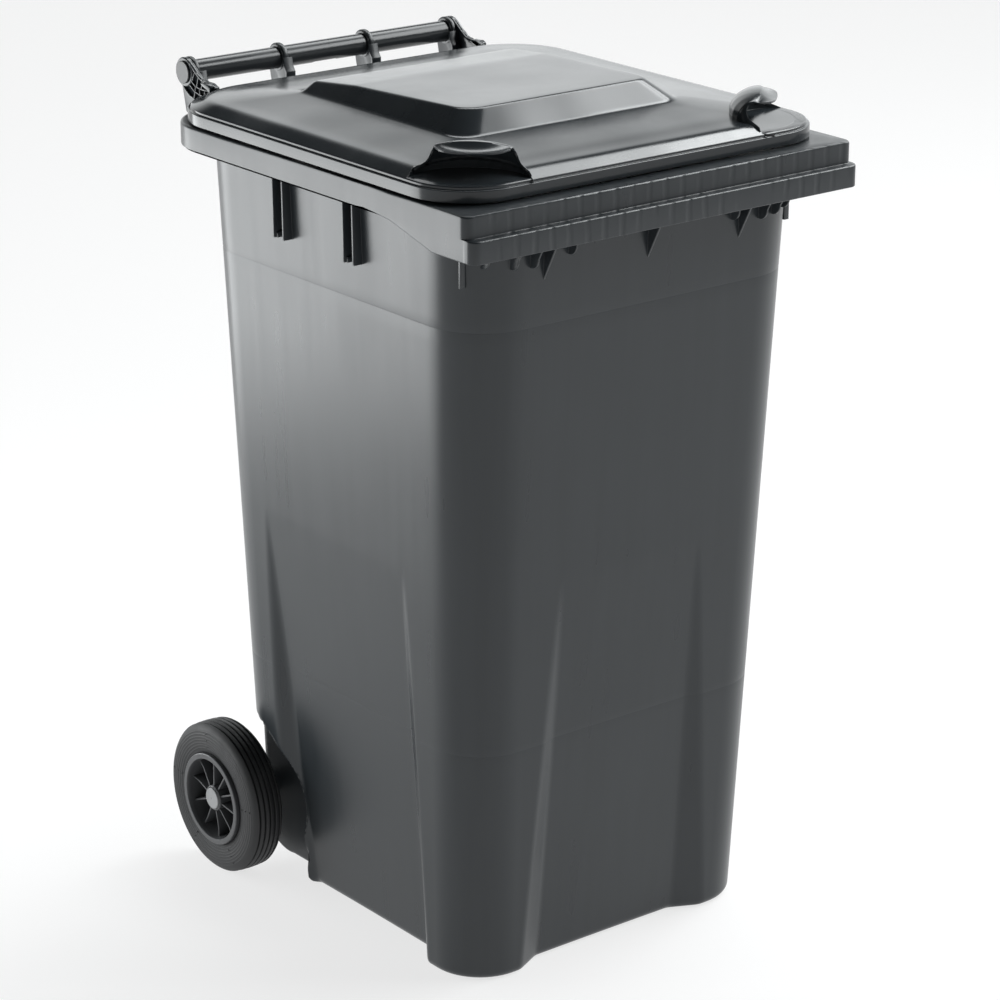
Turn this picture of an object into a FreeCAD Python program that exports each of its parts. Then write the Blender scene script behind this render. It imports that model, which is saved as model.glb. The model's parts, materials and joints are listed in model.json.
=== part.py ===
"""Two-wheeled refuse bin of 240 litres with a hinged lid, as a parametric FreeCAD document.

Frame: millimetres, +Z up, the front faces -Y and +X is to the right of someone facing the front.
The origin is on the ground, under the middle of the closed bin's bounding box.
"""
import FreeCAD, Part
import math
import os

import Sketcher

VEC = FreeCAD.Vector
X_AXIS = VEC(1, 0, 0)
Y_AXIS = VEC(0, 1, 0)
Z_AXIS = VEC(0, 0, 1)
FAR = 900.0           # longer than any stretch that a cutter has to clear

doc = FreeCAD.newDocument("wheelie_bin")

# ---------------------------------------------------------------- driving dimensions

SIZES = {
    # rim and comb lip
    "rim_half_width": 290.0,
    "rim_top_z": 991.0,
    "rim_depth": 28.0,
    "rim_rear_y": 279.5,
    "rim_rear_radius": 80.0,
    "rim_front_radius": 12.0,
    "lip_front_y": -354.5,
    "lip_step": 12.0,
    "lip_step_z": 964.0,
    "lip_bottom_z": 938.0,
    "rim_wall": 4.0,
    # container walls, at the ground and at the rim
    "wall": 4.5,
    "base_half_width": 226.0,
    "top_half_width": 260.5,
    "base_front_y": -262.5,
    "top_front_y": -311.0,
    "base_rear_y": 215.5,
    "top_rear_y": 250.5,
    "base_corner_radius": 66.0,
    "top_corner_radius": 80.0,
    "base_edge": 10.0,
    # tapering recesses in the front and the sides
    "fold_top_z": 512.0,
    "front_recess": 18.0,
    "front_recess_half_width": 110.0,
    "front_fold_half_width": 148.0,
    "side_recess": 27.0,
    "wheel_arch_radius": 112.0,
    # handle and lid hinge
    "hinge_y": 336.0,
    "hinge_z": 1025.0,
    "hinge_ring_radius": 18.5,
    "tube_radius": 13.75,
    "tube_bore_radius": 10.5,
    "support_inner_x": 197.5,
    "support_thickness": 5.5,
    "middle_support_x": 67.0,
    "arm_inner_x": 203.6,
    "arm_thickness": 6.6,
    "pin_clearance": 0.08,
    "pin_head_radius": 14.3,
    "pin_head_thickness": 2.2,
    "pin_reach": 28.0,
    # lid
    "lid_half_width": 287.0,
    "lid_front_y": -316.5,
    "lid_rear_y": 278.0,
    "lid_front_radius": 78.0,
    "lid_rear_radius": 95.0,
    "lid_bottom_z": 994.0,
    "lid_wall": 3.5,
    "plateau_half_width": 170.0,
    "plateau_front_y": -175.5,
    "plateau_rear_y": 145.5,
    "plateau_foot_z": 1029.0,
    "plateau_front_z": 1055.0,
    "plateau_rear_z": 1041.0,
    # axle and wheels
    "axle_y": 213.5,
    "axle_z": 100.0,
    "axle_radius": 10.0,
    "axle_half_length": 272.0,
    "axle_groove_depth": 1.6,
    "wheel_radius": 100.0,
    "tyre_half_width": 25.0,
    "wheel_x": 257.0,
    "wheel_turn": -13.0,
    "rim_seat_radius": 57.0,
    "rim_flange_radius": 61.0,
    "hub_radius": 17.0,
    "hub_inner_x": 217.5,
    "hub_outer_x": 279.0,
    "bush_radius": 13.0,
    "bush_clearance": 0.06,
    "spoke_count": 10.0,
    "spoke_thickness": 2.4,
    "lug_outer_x": 199.0,
    "lug_thickness": 9.0,
    "lug_radius": 27.0,
    "middle_lug_x": 62.0,
    "lock_pin_radius": 3.0,
    "lock_pin_x": 250.0,
    "lock_boss_radius": 5.5,
    "lock_boss_top": 28.0,
    "lock_hole_top": 25.5,
}

sheet = doc.addObject("Spreadsheet::Sheet", "Sizes")
for row, (alias, number) in enumerate(SIZES.items(), start=1):
    sheet.set(f"A{row}", alias)
    sheet.set(f"B{row}", str(number))
    sheet.setAlias(f"B{row}", alias)
doc.recompute()


class Size:
    """A number together with the spreadsheet expression that it comes from."""

    def __init__(self, number, text):
        self.number = float(number)
        self.text = text

    def combine(self, other, sign, result):
        text = other.text if isinstance(other, Size) else repr(float(other))
        return Size(result, f"({self.text} {sign} {text})")

    def __add__(self, other):
        return self.combine(other, "+", self.number + number_of(other))

    def __sub__(self, other):
        return self.combine(other, "-", self.number - number_of(other))

    def __mul__(self, other):
        return self.combine(other, "*", self.number * number_of(other))

    def __neg__(self):
        return Size(-self.number, f"(-{self.text})")


def number_of(value):
    return value.number if isinstance(value, Size) else float(value)


def size(alias):
    """The spreadsheet's value as a Size, for sketches and properties that stay bound to it."""
    return Size(sheet.get(alias), f"Sizes.{alias}")


def mm(alias):
    """The spreadsheet's value as a plain number, for shapes made by functions."""
    return float(sheet.get(alias))


# ---------------------------------------------------------------- sketches and bodies

def new_body(label):
    body = doc.addObject("PartDesign::Body", label)
    body.Label = label
    return body


def origin_feature(body, role):
    return next(item for item in body.Origin.OriginFeatures if item.Role == role)


def closed_sketch(body, name, role, points):
    """A sketch of one closed outline whose corners are all bound to the spreadsheet."""
    sketch = body.newObject("Sketcher::SketchObject", name)
    sketch.AttachmentSupport = [(origin_feature(body, role), "")]
    sketch.MapMode = "FlatFace"
    places = [VEC(number_of(u), number_of(v), 0) for u, v in points]
    count = len(places)
    for index in range(count):
        sketch.addGeometry(Part.LineSegment(places[index], places[(index + 1) % count]), False)
    for index in range(count):
        sketch.addConstraint(Sketcher.Constraint("Coincident", index, 2, (index + 1) % count, 1))
    for index, point in enumerate(points):
        for kind, value in zip(("DistanceX", "DistanceY"), point):
            number = number_of(value)
            place = sketch.addConstraint(Sketcher.Constraint(kind, -1, 1, index, 1, number))
            if isinstance(value, Size):
                sketch.setExpression(f"Constraints[{place}]", value.text)
    return sketch


def revolve_about_x(body, name, points):
    """A solid of revolution about X from an outline of (distance along X, radius) points."""
    sketch = closed_sketch(body, f"{name}_sketch", "XY_Plane", points)
    feature = body.newObject("PartDesign::Revolution", name)
    feature.Profile = sketch
    feature.ReferenceAxis = (sketch, ["H_Axis"])
    feature.Angle = 360.0
    return feature


def place_pair(label, make, turn=0.0):
    """The right-hand piece at +X and its left-hand twin, half a turn round about Z.

    turn is the piece's own angle about X, for the spokes and what sits in line with them.
    """
    for side, angle in (("right", 0.0), ("left", 180.0)):
        body = make(f"{label}_{side}")
        own_turn = FreeCAD.Rotation(X_AXIS, turn)
        body.Placement.Rotation = FreeCAD.Rotation(Z_AXIS, angle).multiply(own_turn)
        yield body


def put_at(body, y, z):
    """Moves a body made on the X axis to the axis at (y, z), and keeps it bound to the sheet."""
    body.setExpression("Placement.Base.y", y.text)
    body.setExpression("Placement.Base.z", z.text)


# ---------------------------------------------------------------- shapes made by functions

def outline(half_width, front_y, rear_y, front_radius, rear_radius, z, slope=0.0):
    """A rounded rectangle, symmetric about X = 0. slope lifts it by that much for each mm of Y."""
    def at(x, y):
        return VEC(x, y, z + slope * (y - front_y))

    def corner(centre_x, centre_y, radius, start):
        angles = [math.radians(start + step) for step in (0, 45, 90)]
        return [at(centre_x + radius * math.cos(a), centre_y + radius * math.sin(a)) for a in angles]

    corners = [
        corner(half_width - front_radius, front_y + front_radius, front_radius, -90),
        corner(half_width - rear_radius, rear_y - rear_radius, rear_radius, 0),
        corner(rear_radius - half_width, rear_y - rear_radius, rear_radius, 90),
        corner(front_radius - half_width, front_y + front_radius, front_radius, 180),
    ]
    edges = []
    for index, points in enumerate(corners):
        edges.append(Part.Arc(*points).toShape())
        edges.append(Part.LineSegment(points[2], corners[(index + 1) % 4][0]).toShape())
    return Part.Wire(edges)


def loft(*wires):
    return Part.makeLoft(list(wires), True, True)


def raise_outline(wire, height):
    return Part.Face(wire).extrude(VEC(0, 0, height))


def box(x_range, y_range, z_range):
    low = VEC(x_range[0], y_range[0], z_range[0])
    return Part.makeBox(x_range[1] - low.x, y_range[1] - low.y, z_range[1] - low.z, low)


def side_prism(points, x_from, x_to):
    """A prism along X from an outline of (y, z) points."""
    corners = [VEC(x_from, y, z) for y, z in points]
    return Part.Face(Part.makePolygon(corners + corners[:1])).extrude(VEC(x_to - x_from, 0, 0))


def cross_rod(radius, y, z, x_from, x_to):
    return Part.makeCylinder(radius, x_to - x_from, VEC(x_from, y, z), X_AXIS)


def solid_from_faces(corner_lists):
    faces = [Part.Face(Part.makePolygon(list(c) + [c[0]])) for c in corner_lists]
    solid = Part.Solid(Part.Shell(faces))
    if solid.Volume < 0:
        solid.reverse()
    return solid


def mirrored(shape):
    return shape.mirror(VEC(0, 0, 0), X_AXIS)


def both_sides(shape):
    return [shape, mirrored(shape)]


def fuse_all(shapes):
    return shapes[0].multiFuse(shapes[1:]) if len(shapes) > 1 else shapes[0]


def add_feature(label, shape):
    """A sub-part whose shape comes from the functions above."""
    feature = doc.addObject("Part::Feature", label)
    feature.Label = label
    feature.Shape = shape.removeSplitter()
    return feature


# ---------------------------------------------------------------- container

def container_block(inset, floor_z, top_z):
    """The tapering block of the container, moved inwards by inset."""
    full = mm("rim_top_z")

    def section(z, edge):
        share = z / full
        def between(low, high):
            return mm(low) + (mm(high) - mm(low)) * share
        radius = between("base_corner_radius", "top_corner_radius") - inset
        return outline(between("base_half_width", "top_half_width") - inset - edge,
                       between("base_front_y", "top_front_y") + inset + edge,
                       between("base_rear_y", "top_rear_y") - inset - edge,
                       radius - edge * 0.5, radius - edge * 0.5, z)

    edge = mm("base_edge")
    return loft(section(floor_z, edge), section(floor_z + edge, 0.0), section(top_z, 0.0))


def recess_solid(foot, apex, out_foot, out_top):
    """A cutter that is deep at the ground and runs out to nothing at its two apexes."""
    return solid_from_faces([
        [foot[0], foot[1], apex[0]],
        [foot[1], foot[2], apex[1], apex[0]],
        [foot[2], foot[3], apex[1]],
        [out_foot[0], foot[0], apex[0], out_top[0]],
        [foot[3], out_foot[1], out_top[1], apex[1]],
        [out_foot[1], out_foot[0], out_top[0], out_top[1]],
        [apex[0], apex[1], out_top[1], out_top[0]],
        [foot[3], foot[2], foot[1], foot[0], out_foot[0], out_foot[1]],
    ])


def front_recess(grow):
    """The tapering recess in the front face, bounded by two long folds."""
    top = mm("fold_top_z")
    slope = (mm("top_front_y") - mm("base_front_y")) / mm("rim_top_z")
    half_deep = mm("front_recess_half_width") + grow
    half_wide = mm("front_fold_half_width") + grow
    wall_foot = mm("base_front_y")
    wall_top = wall_foot + slope * top + grow
    deep_y = wall_foot + mm("front_recess") + grow
    front = wall_foot - 80.0
    wide_top = half_deep - 3.0
    foot = [VEC(-half_wide, wall_foot + grow, 0), VEC(-half_deep, deep_y, 0),
            VEC(half_deep, deep_y, 0), VEC(half_wide, wall_foot + grow, 0)]
    apex = [VEC(-wide_top, wall_top, top), VEC(wide_top, wall_top, top)]
    out_foot = [VEC(-half_wide, front, 0), VEC(half_wide, front, 0)]
    out_top = [VEC(-wide_top, front, top), VEC(wide_top, front, top)]
    return recess_solid(foot, apex, out_foot, out_top)


def side_recess(grow):
    """The tapering recess in the +X side, from behind the front foot to the wheel."""
    top = mm("fold_top_z")
    slope = (mm("top_half_width") - mm("base_half_width")) / mm("rim_top_z")
    wall_foot = mm("base_half_width") - grow
    wall_top = wall_foot + slope * top
    deep_x = mm("base_half_width") - mm("side_recess") - grow
    out = wall_foot + 90.0
    front_wide, front_deep = -176.0 - grow, -146.0 - grow
    rear_deep, rear_wide = 88.0 + grow, 122.0 + grow
    front_top, rear_top = -157.0, 128.0
    foot = [VEC(wall_foot, front_wide, 0), VEC(deep_x, front_deep, 0),
            VEC(deep_x, rear_deep, 0), VEC(wall_foot, rear_wide, 0)]
    apex = [VEC(wall_top, front_top, top), VEC(wall_top, rear_top, top)]
    out_foot = [VEC(out, front_wide, 0), VEC(out, rear_wide, 0)]
    out_top = [VEC(out, front_top, top), VEC(out, rear_top, top)]
    return recess_solid(foot, apex, out_foot, out_top)


def wheel_arch(grow):
    """The flared hollow in the +X side that makes room for a wheel."""
    inner_x = mm("base_half_width") - mm("side_recess") - grow
    reach = 60.0
    radius = mm("wheel_arch_radius") + grow
    start = VEC(inner_x, mm("axle_y"), mm("axle_z"))
    return Part.makeCone(radius, radius + reach, reach, start, X_AXIS)


def base_cutters(grow):
    """Everything that is taken out of the container block near the ground."""
    raised_from = 108.5
    raised_by = 21.0
    heel_radius = 58.0
    heel_y, heel_z = mm("base_rear_y") - heel_radius, raised_by + heel_radius
    step = box((-FAR, FAR), (raised_from - grow, FAR), (-FAR, raised_by + grow))
    heel = box((-FAR, FAR), (heel_y, FAR), (-FAR, heel_z))
    heel = heel.cut(cross_rod(heel_radius - grow, heel_y, heel_z, -FAR, FAR))
    channel = cross_rod(26.0 + grow, mm("axle_y") + 4.0, mm("axle_z"), -FAR, FAR)
    cutters = [front_recess(grow), step, heel, channel]
    for make in (side_recess, wheel_arch):
        cutters += both_sides(make(grow))
    return cutters


def rim_shape():
    """The down-turned rim with its two-tier comb lip along the front, before the inside is cut."""
    top, step, bottom = mm("rim_top_z"), mm("lip_step_z"), mm("lip_bottom_z")
    skirt = top - mm("rim_depth")
    upper_front = mm("lip_front_y") + mm("lip_step")

    def tier(front_y, inset, low, high):
        wire = outline(mm("rim_half_width") - inset, front_y + inset, mm("rim_rear_y") - inset,
                       mm("rim_front_radius") - inset, mm("rim_rear_radius") - inset, low)
        return raise_outline(wire, high - low)

    side_view = [(-FAR, bottom), (-279.0, bottom), (-203.0, skirt - 5.0), (-150.0, skirt),
                 (-150.0, step), (-FAR, step)]
    front_zone = side_prism(side_view, -FAR, FAR)
    wall = mm("rim_wall")
    upper = tier(upper_front, 0.0, skirt, top)
    lower = tier(mm("lip_front_y"), 0.0, bottom, step).common(front_zone)
    upper_inside = tier(upper_front, wall, skirt - 6.0, top - wall)
    lower_inside = tier(mm("lip_front_y"), wall, bottom - 6.0, step - wall)
    return upper.fuse(lower).cut(upper_inside).cut(lower_inside)


ROUND_RIB_PLACES = (-228.0, -198.0, -171.0, -116.0, 130.0, 174.0, 196.0, 218.0)
GUSSET_PLACES = (-150.0, 3.0, 143.0)


def lip_ribs():
    """Stiffening ribs behind the comb lip, and the gussets that carry it."""
    top, step = mm("rim_top_z"), mm("lip_step_z")
    wall = mm("rim_wall")
    upper_y = mm("lip_front_y") + mm("lip_step") + wall
    lower_y = mm("lip_front_y") + wall
    into_wall = -304.0
    thin = 2.6
    ribs = []
    upper_rib = [(upper_y - 1.0, step + 1.0), (upper_y - 1.0, top - wall + 1.0),
                 (into_wall, top - wall + 1.0), (into_wall, step + 1.0)]
    for index in range(-9, 10):
        x = 25.0 * index
        ribs.append(side_prism(upper_rib, x - thin / 2, x + thin / 2))
    foot, bend, end_radius = mm("lip_bottom_z") - 24.0, mm("lip_bottom_z") - 2.0, 22.0
    corner, straight = mm("top_corner_radius"), mm("top_half_width") - mm("top_corner_radius")
    for x in ROUND_RIB_PLACES:
        span = (x - thin / 2, x + thin / 2)
        past = max(abs(x) - straight, 0.0)
        back = into_wall + corner - math.sqrt(corner ** 2 - past ** 2)
        root = box(span, (back - end_radius, back), (foot, bend))
        root = root.common(cross_rod(end_radius, back, bend, *span))
        ribs += [root, box(span, (back - end_radius, back), (bend, step)),
                 box(span, (lower_y - 1.0, back), (mm("lip_bottom_z") + 9.0, step))]
    gusset = [(lower_y - 0.5, mm("lip_bottom_z") + 1.0), (lower_y - 0.5, step - wall + 1.0),
              (into_wall, step - wall + 1.0), (into_wall, 884.0)]
    for x in GUSSET_PLACES:
        ribs.append(side_prism(gusset, x - thin / 2, x + thin / 2))
    return ribs


def side_ribs():
    """Pairs of short upright ribs under the rim on both sides, and one at each front corner."""
    low, high = 881.0, mm("rim_top_z") - mm("rim_wall") + 1.0
    thin = 2.6
    ribs = []
    for y in (59.5, 39.5, -82.5, -101.5):
        ribs.append(box((250.0, 269.5), (y - thin / 2, y + thin / 2), (low, high)))
    corner = box((228.0, 249.0), (-277.8, -275.2), (889.0, high))
    ribs.append(corner)
    return ribs + [mirrored(rib) for rib in ribs]


def handle_supports():
    """Four brackets that rise behind the rim and end in rings around the handle tube."""
    y, z = mm("hinge_y"), mm("hinge_z")
    ring = mm("hinge_ring_radius")
    thick = mm("support_thickness")
    leg = [(y - 24.0, z - 12.0), (y - 24.0, z - 36.0), (y - 46.0, z - 42.0), (250.0, z - 44.0),
           (240.0, 905.0), (292.0, 938.0), (y + 7.0, z - 51.0), (y + 14.5, z - 12.0)]
    flange = [(y - 24.0, z - 10.0), (y - 24.0, z - 38.0), (y - 20.5, z - 38.0), (y - 18.0, z)]
    supports = []
    middle = mm("middle_support_x")
    outer = mm("support_inner_x") + thick / 2
    for x, flange_from, flange_to in ((middle, -7.0, 7.0), (outer, -9.0, thick / 2)):
        plate = side_prism(leg, x - thick / 2, x + thick / 2)
        loop = cross_rod(ring, y, z, x - thick / 2, x + thick / 2)
        front = side_prism(flange, x + flange_from, x + flange_to)
        supports += both_sides(fuse_all([plate, loop, front]))
    return supports


def axle_brackets():
    """Lugs across the back of the base that hold the axle."""
    y, z = mm("axle_y"), mm("axle_z")
    radius, thick = mm("lug_radius"), mm("lug_thickness")
    root_y = 180.0
    root = [(root_y, z - 40.0), (y, z - radius), (y, z + radius), (root_y, z + 40.0)]
    lugs = []
    for x_from in (mm("lug_outer_x") - thick, mm("middle_lug_x") - thick / 2):
        lug = cross_rod(radius, y, z, x_from, x_from + thick)
        lugs += both_sides(lug.fuse(side_prism(root, x_from, x_from + thick)))
    return lugs


def lid_rests():
    """Four low pads on the rim that the closed lid lies on."""
    top = mm("rim_top_z")
    high = mm("lid_bottom_z") - 0.1
    pads = []
    for y in (-100.0, 130.0):
        pads += both_sides(box((280.0, 288.0), (y - 9.0, y + 9.0), (top - 2.0, high)))
    return pads


def make_container():
    inside = container_block(mm("wall"), mm("wall") + 0.5, mm("rim_top_z") + 4.0)
    inside = inside.cut(fuse_all(base_cutters(mm("wall"))))
    outside = container_block(0.0, 0.0, mm("rim_top_z")).cut(fuse_all(base_cutters(0.0)))
    added = [rim_shape()] + lip_ribs() + side_ribs() + handle_supports() + axle_brackets() + lid_rests()
    whole = outside.fuse(added).cut(inside)
    y, z = mm("hinge_y"), mm("hinge_z")
    tube_hole = cross_rod(mm("tube_radius"), y, z, -FAR, FAR)
    axle_hole = cross_rod(mm("axle_radius"), mm("axle_y"), mm("axle_z"), -FAR, FAR)
    return add_feature("body", whole.cut(tube_hole).cut(axle_hole))


# ---------------------------------------------------------------- lid

def lid_block(inset):
    """The closed form of the lid: flange, stepped edge, shallow slopes and the raised plateau."""
    bottom = mm("lid_bottom_z")

    def ring(edge, z):
        total = edge + inset
        return outline(mm("lid_half_width") - total, mm("lid_front_y") + total, mm("lid_rear_y") - total,
                       mm("lid_front_radius") - total * 0.6, mm("lid_rear_radius") - total * 0.6, z - inset)

    def plateau(edge, z, slope):
        total = edge + inset
        return outline(mm("plateau_half_width") - total, mm("plateau_front_y") + total,
                       mm("plateau_rear_y") - total, 14.0, 14.0, z - inset, slope)

    start = bottom if inset == 0.0 else bottom - 3.0
    length = mm("plateau_rear_y") - mm("plateau_front_y")
    slope = (mm("plateau_rear_z") - mm("plateau_front_z")) / length
    flange = raise_outline(ring(0.0, start + inset), bottom + 14.0 - inset - start)
    band = loft(ring(3.0, bottom + 14.0), ring(7.0, bottom + 19.0), ring(24.0, bottom + 25.0))
    skin = loft(ring(24.0, bottom + 25.0), plateau(0.0, mm("plateau_foot_z"), 0.0))
    raised = loft(plateau(0.0, mm("plateau_foot_z"), 0.0), plateau(27.0, mm("plateau_front_z"), slope))
    return fuse_all([flange, band, skin, raised])


GRIP_CENTRE = (202.6, -244.9)
GRIP_OUT = (math.sqrt(0.5), -math.sqrt(0.5))


def grip_point(out, along, z):
    """A point near the +X front corner: out towards the corner, along across it."""
    return VEC(GRIP_CENTRE[0] + GRIP_OUT[0] * out - GRIP_OUT[1] * along,
               GRIP_CENTRE[1] + GRIP_OUT[1] * out + GRIP_OUT[0] * along, z)


def grip_prism(points, half_width):
    """A prism across the corner from an outline of (out, z) points."""
    corners = [grip_point(out, -half_width, z) for out, z in points]
    across = grip_point(0, half_width, 0) - grip_point(0, -half_width, 0)
    return Part.Face(Part.makePolygon(corners + corners[:1])).extrude(across)


def grip_cylinder(out, radius, low, high):
    return Part.makeCylinder(radius, high - low, grip_point(out, 0.0, low), Z_AXIS)


def scoop_shape(half_width, low, high):
    """The space of a finger scoop: round at the back, straight out past the lid's corner."""
    straight = grip_prism([(56.0, low), (150.0, low), (150.0, high), (56.0, high)], half_width)
    return grip_cylinder(56.0, half_width, low, high).fuse(straight)


def add_grips(shell, block):
    """A finger scoop in each front corner of the lid, under a raised visor."""
    floor_z = mm("lid_bottom_z") + 17.0
    wall = mm("lid_wall")
    high = mm("plateau_front_z") + 20.0
    scoop = scoop_shape(71.5, floor_z, high)
    scoop_wall = scoop_shape(71.5 + wall, floor_z - wall, high)
    floor = block.common(scoop_shape(71.5 + wall, floor_z - wall, floor_z))
    back = block.common(scoop_wall.cut(scoop))
    visor = grip_prism([(-19.0, 1020.0), (-9.0, 1037.0), (4.0, 1046.0), (19.8, 1050.2), (39.5, 1041.6),
                        (38.5, 1038.6), (19.8, 1046.8), (6.0, 1042.5), (-6.0, 1033.0), (-14.0, 1014.0)], 56.0)
    visor = visor.common(grip_cylinder(-8.0, 48.0, floor_z, high))
    result = shell
    for side in (lambda shape: shape, mirrored):
        result = result.cut(side(scoop)).fuse([side(floor), side(back), side(visor)])
    return result


def hinge_arm():
    """The +X hinge arm: a ring, a curved web with pockets, and its root in the lid."""
    y, z = mm("hinge_y"), mm("hinge_z")
    inner, thick = mm("arm_inner_x"), mm("arm_thickness")
    web = [(y - 6.0, z + 17.4), (y - 16.0, z + 11.5), (y - 26.0, z + 4.0), (y - 37.0, z - 2.5),
           (y - 48.0, z - 4.5), (y - 64.0, z - 8.0), (y - 92.0, z - 14.0), (y - 92.0, z - 27.0),
           (y - 50.0, z - 28.5), (y - 38.0, z - 30.5), (y - 24.0, z - 31.5), (y - 11.5, z - 29.0),
           (y - 1.0, z - 22.0), (y + 9.0, z - 15.8)]
    ring = cross_rod(mm("hinge_ring_radius"), y, z, inner, inner + thick)
    arm = side_prism(web, inner, inner + thick).fuse(ring)
    pocket = [(y - 24.0, z - 1.0), (y - 37.0, z - 7.0), (y - 50.0, z - 9.5), (y - 50.0, z - 24.0),
              (y - 38.0, z - 26.0), (y - 24.0, z - 27.0), (y - 12.0, z - 24.5), (y - 14.0, z - 19.5)]
    hollow = side_prism(pocket, inner + 2.6, inner + thick + 1.0)
    for lean, foot in ((18.0, y - 30.0), (-14.0, y - 32.0), (16.0, y - 48.0)):
        rib = [(foot, z - 33.0), (foot + 1.8, z - 33.0), (foot + 1.8 + lean, z + 3.0), (foot + lean, z + 3.0)]
        hollow = hollow.cut(side_prism(rib, inner, inner + thick))
    return arm.cut(hollow)


def make_lid():
    block = lid_block(0.0)
    shell = block.cut(lid_block(mm("lid_wall")))
    shell = add_grips(shell, block)
    shell = shell.fuse(both_sides(hinge_arm()))
    y, z = mm("hinge_y"), mm("hinge_z")
    bore = cross_rod(mm("tube_bore_radius") + mm("pin_clearance"), y, z, -FAR, FAR)
    middle, gap = mm("middle_support_x"), 11.0
    notch = box((middle - gap, middle + gap), (mm("lid_rear_y") - 9.0, FAR), (0.0, FAR))
    return add_feature("lid", shell.cut(both_sides(notch)).cut(bore))


# ---------------------------------------------------------------- handle and hinge pins

def make_handle_tube():
    """The handle tube, open at both ends, with a shallow notch underneath near its middle."""
    body = new_body("handle_tube")
    end = size("support_inner_x") + size("support_thickness")
    outer, inner = size("tube_radius"), size("tube_bore_radius")
    revolve_about_x(body, "tube_wall", [(-end, inner), (end, inner), (end, outer), (-end, outer)])
    notch = body.newObject("PartDesign::Pocket", "tube_notch")
    notch.Profile = closed_sketch(body, "notch_sketch", "XZ_Plane",
                                  [(-24.0, -outer - 1.0), (24.0, -outer - 1.0),
                                   (16.0, -outer + 2.4), (-16.0, -outer + 2.4)])
    notch.Type = "ThroughAll"
    notch.Midplane = True
    put_at(body, size("hinge_y"), size("hinge_z"))
    return [body]


def make_hinge_pin(label):
    """A pin with a flat round head, pushed through the lid's arm into the end of the tube."""
    body = new_body(label)
    outer_face = size("arm_inner_x") + size("arm_thickness")
    head_from = outer_face + 0.35
    head_to = head_from + size("pin_head_thickness")
    shank = size("tube_bore_radius")
    tip = size("support_inner_x") - size("pin_reach")
    bore = shank - 3.0
    revolve_about_x(body, "pin_turned", [
        (tip, bore), (tip, shank - 1.2), (tip + 3.0, shank), (head_from, shank),
        (head_from, size("pin_head_radius")), (head_to - 0.8, size("pin_head_radius")),
        (head_to, size("pin_head_radius") - 0.8), (head_to, 0.0), (head_from - 1.0, 0.0),
        (head_from - 1.0, bore)])
    put_at(body, size("hinge_y"), size("hinge_z"))
    return body


# ---------------------------------------------------------------- axle and wheels

def make_axle():
    """The steel axle, with a groove near each end for the wheels' lock pins."""
    body = new_body("axle")
    radius, end = size("axle_radius"), size("axle_half_length")
    low = radius - size("axle_groove_depth")
    pin_x, pin_r = size("lock_pin_x"), size("lock_pin_radius")
    near, far = pin_x - pin_r - 0.8, pin_x + pin_r + 0.8
    chamfer = 2.0
    revolve_about_x(body, "axle_turned", [
        (-end, 0.0), (end, 0.0), (end, radius - chamfer), (end - chamfer, radius), (far, radius),
        (far, low), (near, low), (near, radius), (-near, radius), (-near, low), (-far, low),
        (-far, radius), (-end + chamfer, radius), (-end, radius - chamfer)])
    put_at(body, size("axle_y"), size("axle_z"))
    return [body]


def make_axle_spacer(label):
    """The sleeve on the axle that keeps the wheel off the container's side."""
    body = new_body(label)
    bore, outer = size("axle_radius"), size("bush_radius") + 1.0
    start, end = size("lug_outer_x") + 0.4, size("hub_inner_x") - 0.6
    revolve_about_x(body, "spacer_turned", [(start, bore), (end, bore), (end, outer), (start, outer)])
    put_at(body, size("axle_y"), size("axle_z"))
    return body


def make_axle_bush(label):
    """The plain bearing bush in the wheel's hub."""
    body = new_body(label)
    bore = size("axle_radius") + size("bush_clearance")
    outer = size("bush_radius")
    start = size("hub_inner_x")
    end = size("lock_pin_x") - size("lock_pin_radius") - 3.0
    flange = outer + 2.0
    revolve_about_x(body, "bush_turned", [
        (start, bore), (end, bore), (end, outer), (start + 2.0, outer), (start + 2.0, flange),
        (start, flange)])
    put_at(body, size("axle_y"), size("axle_z"))
    return body


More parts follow.
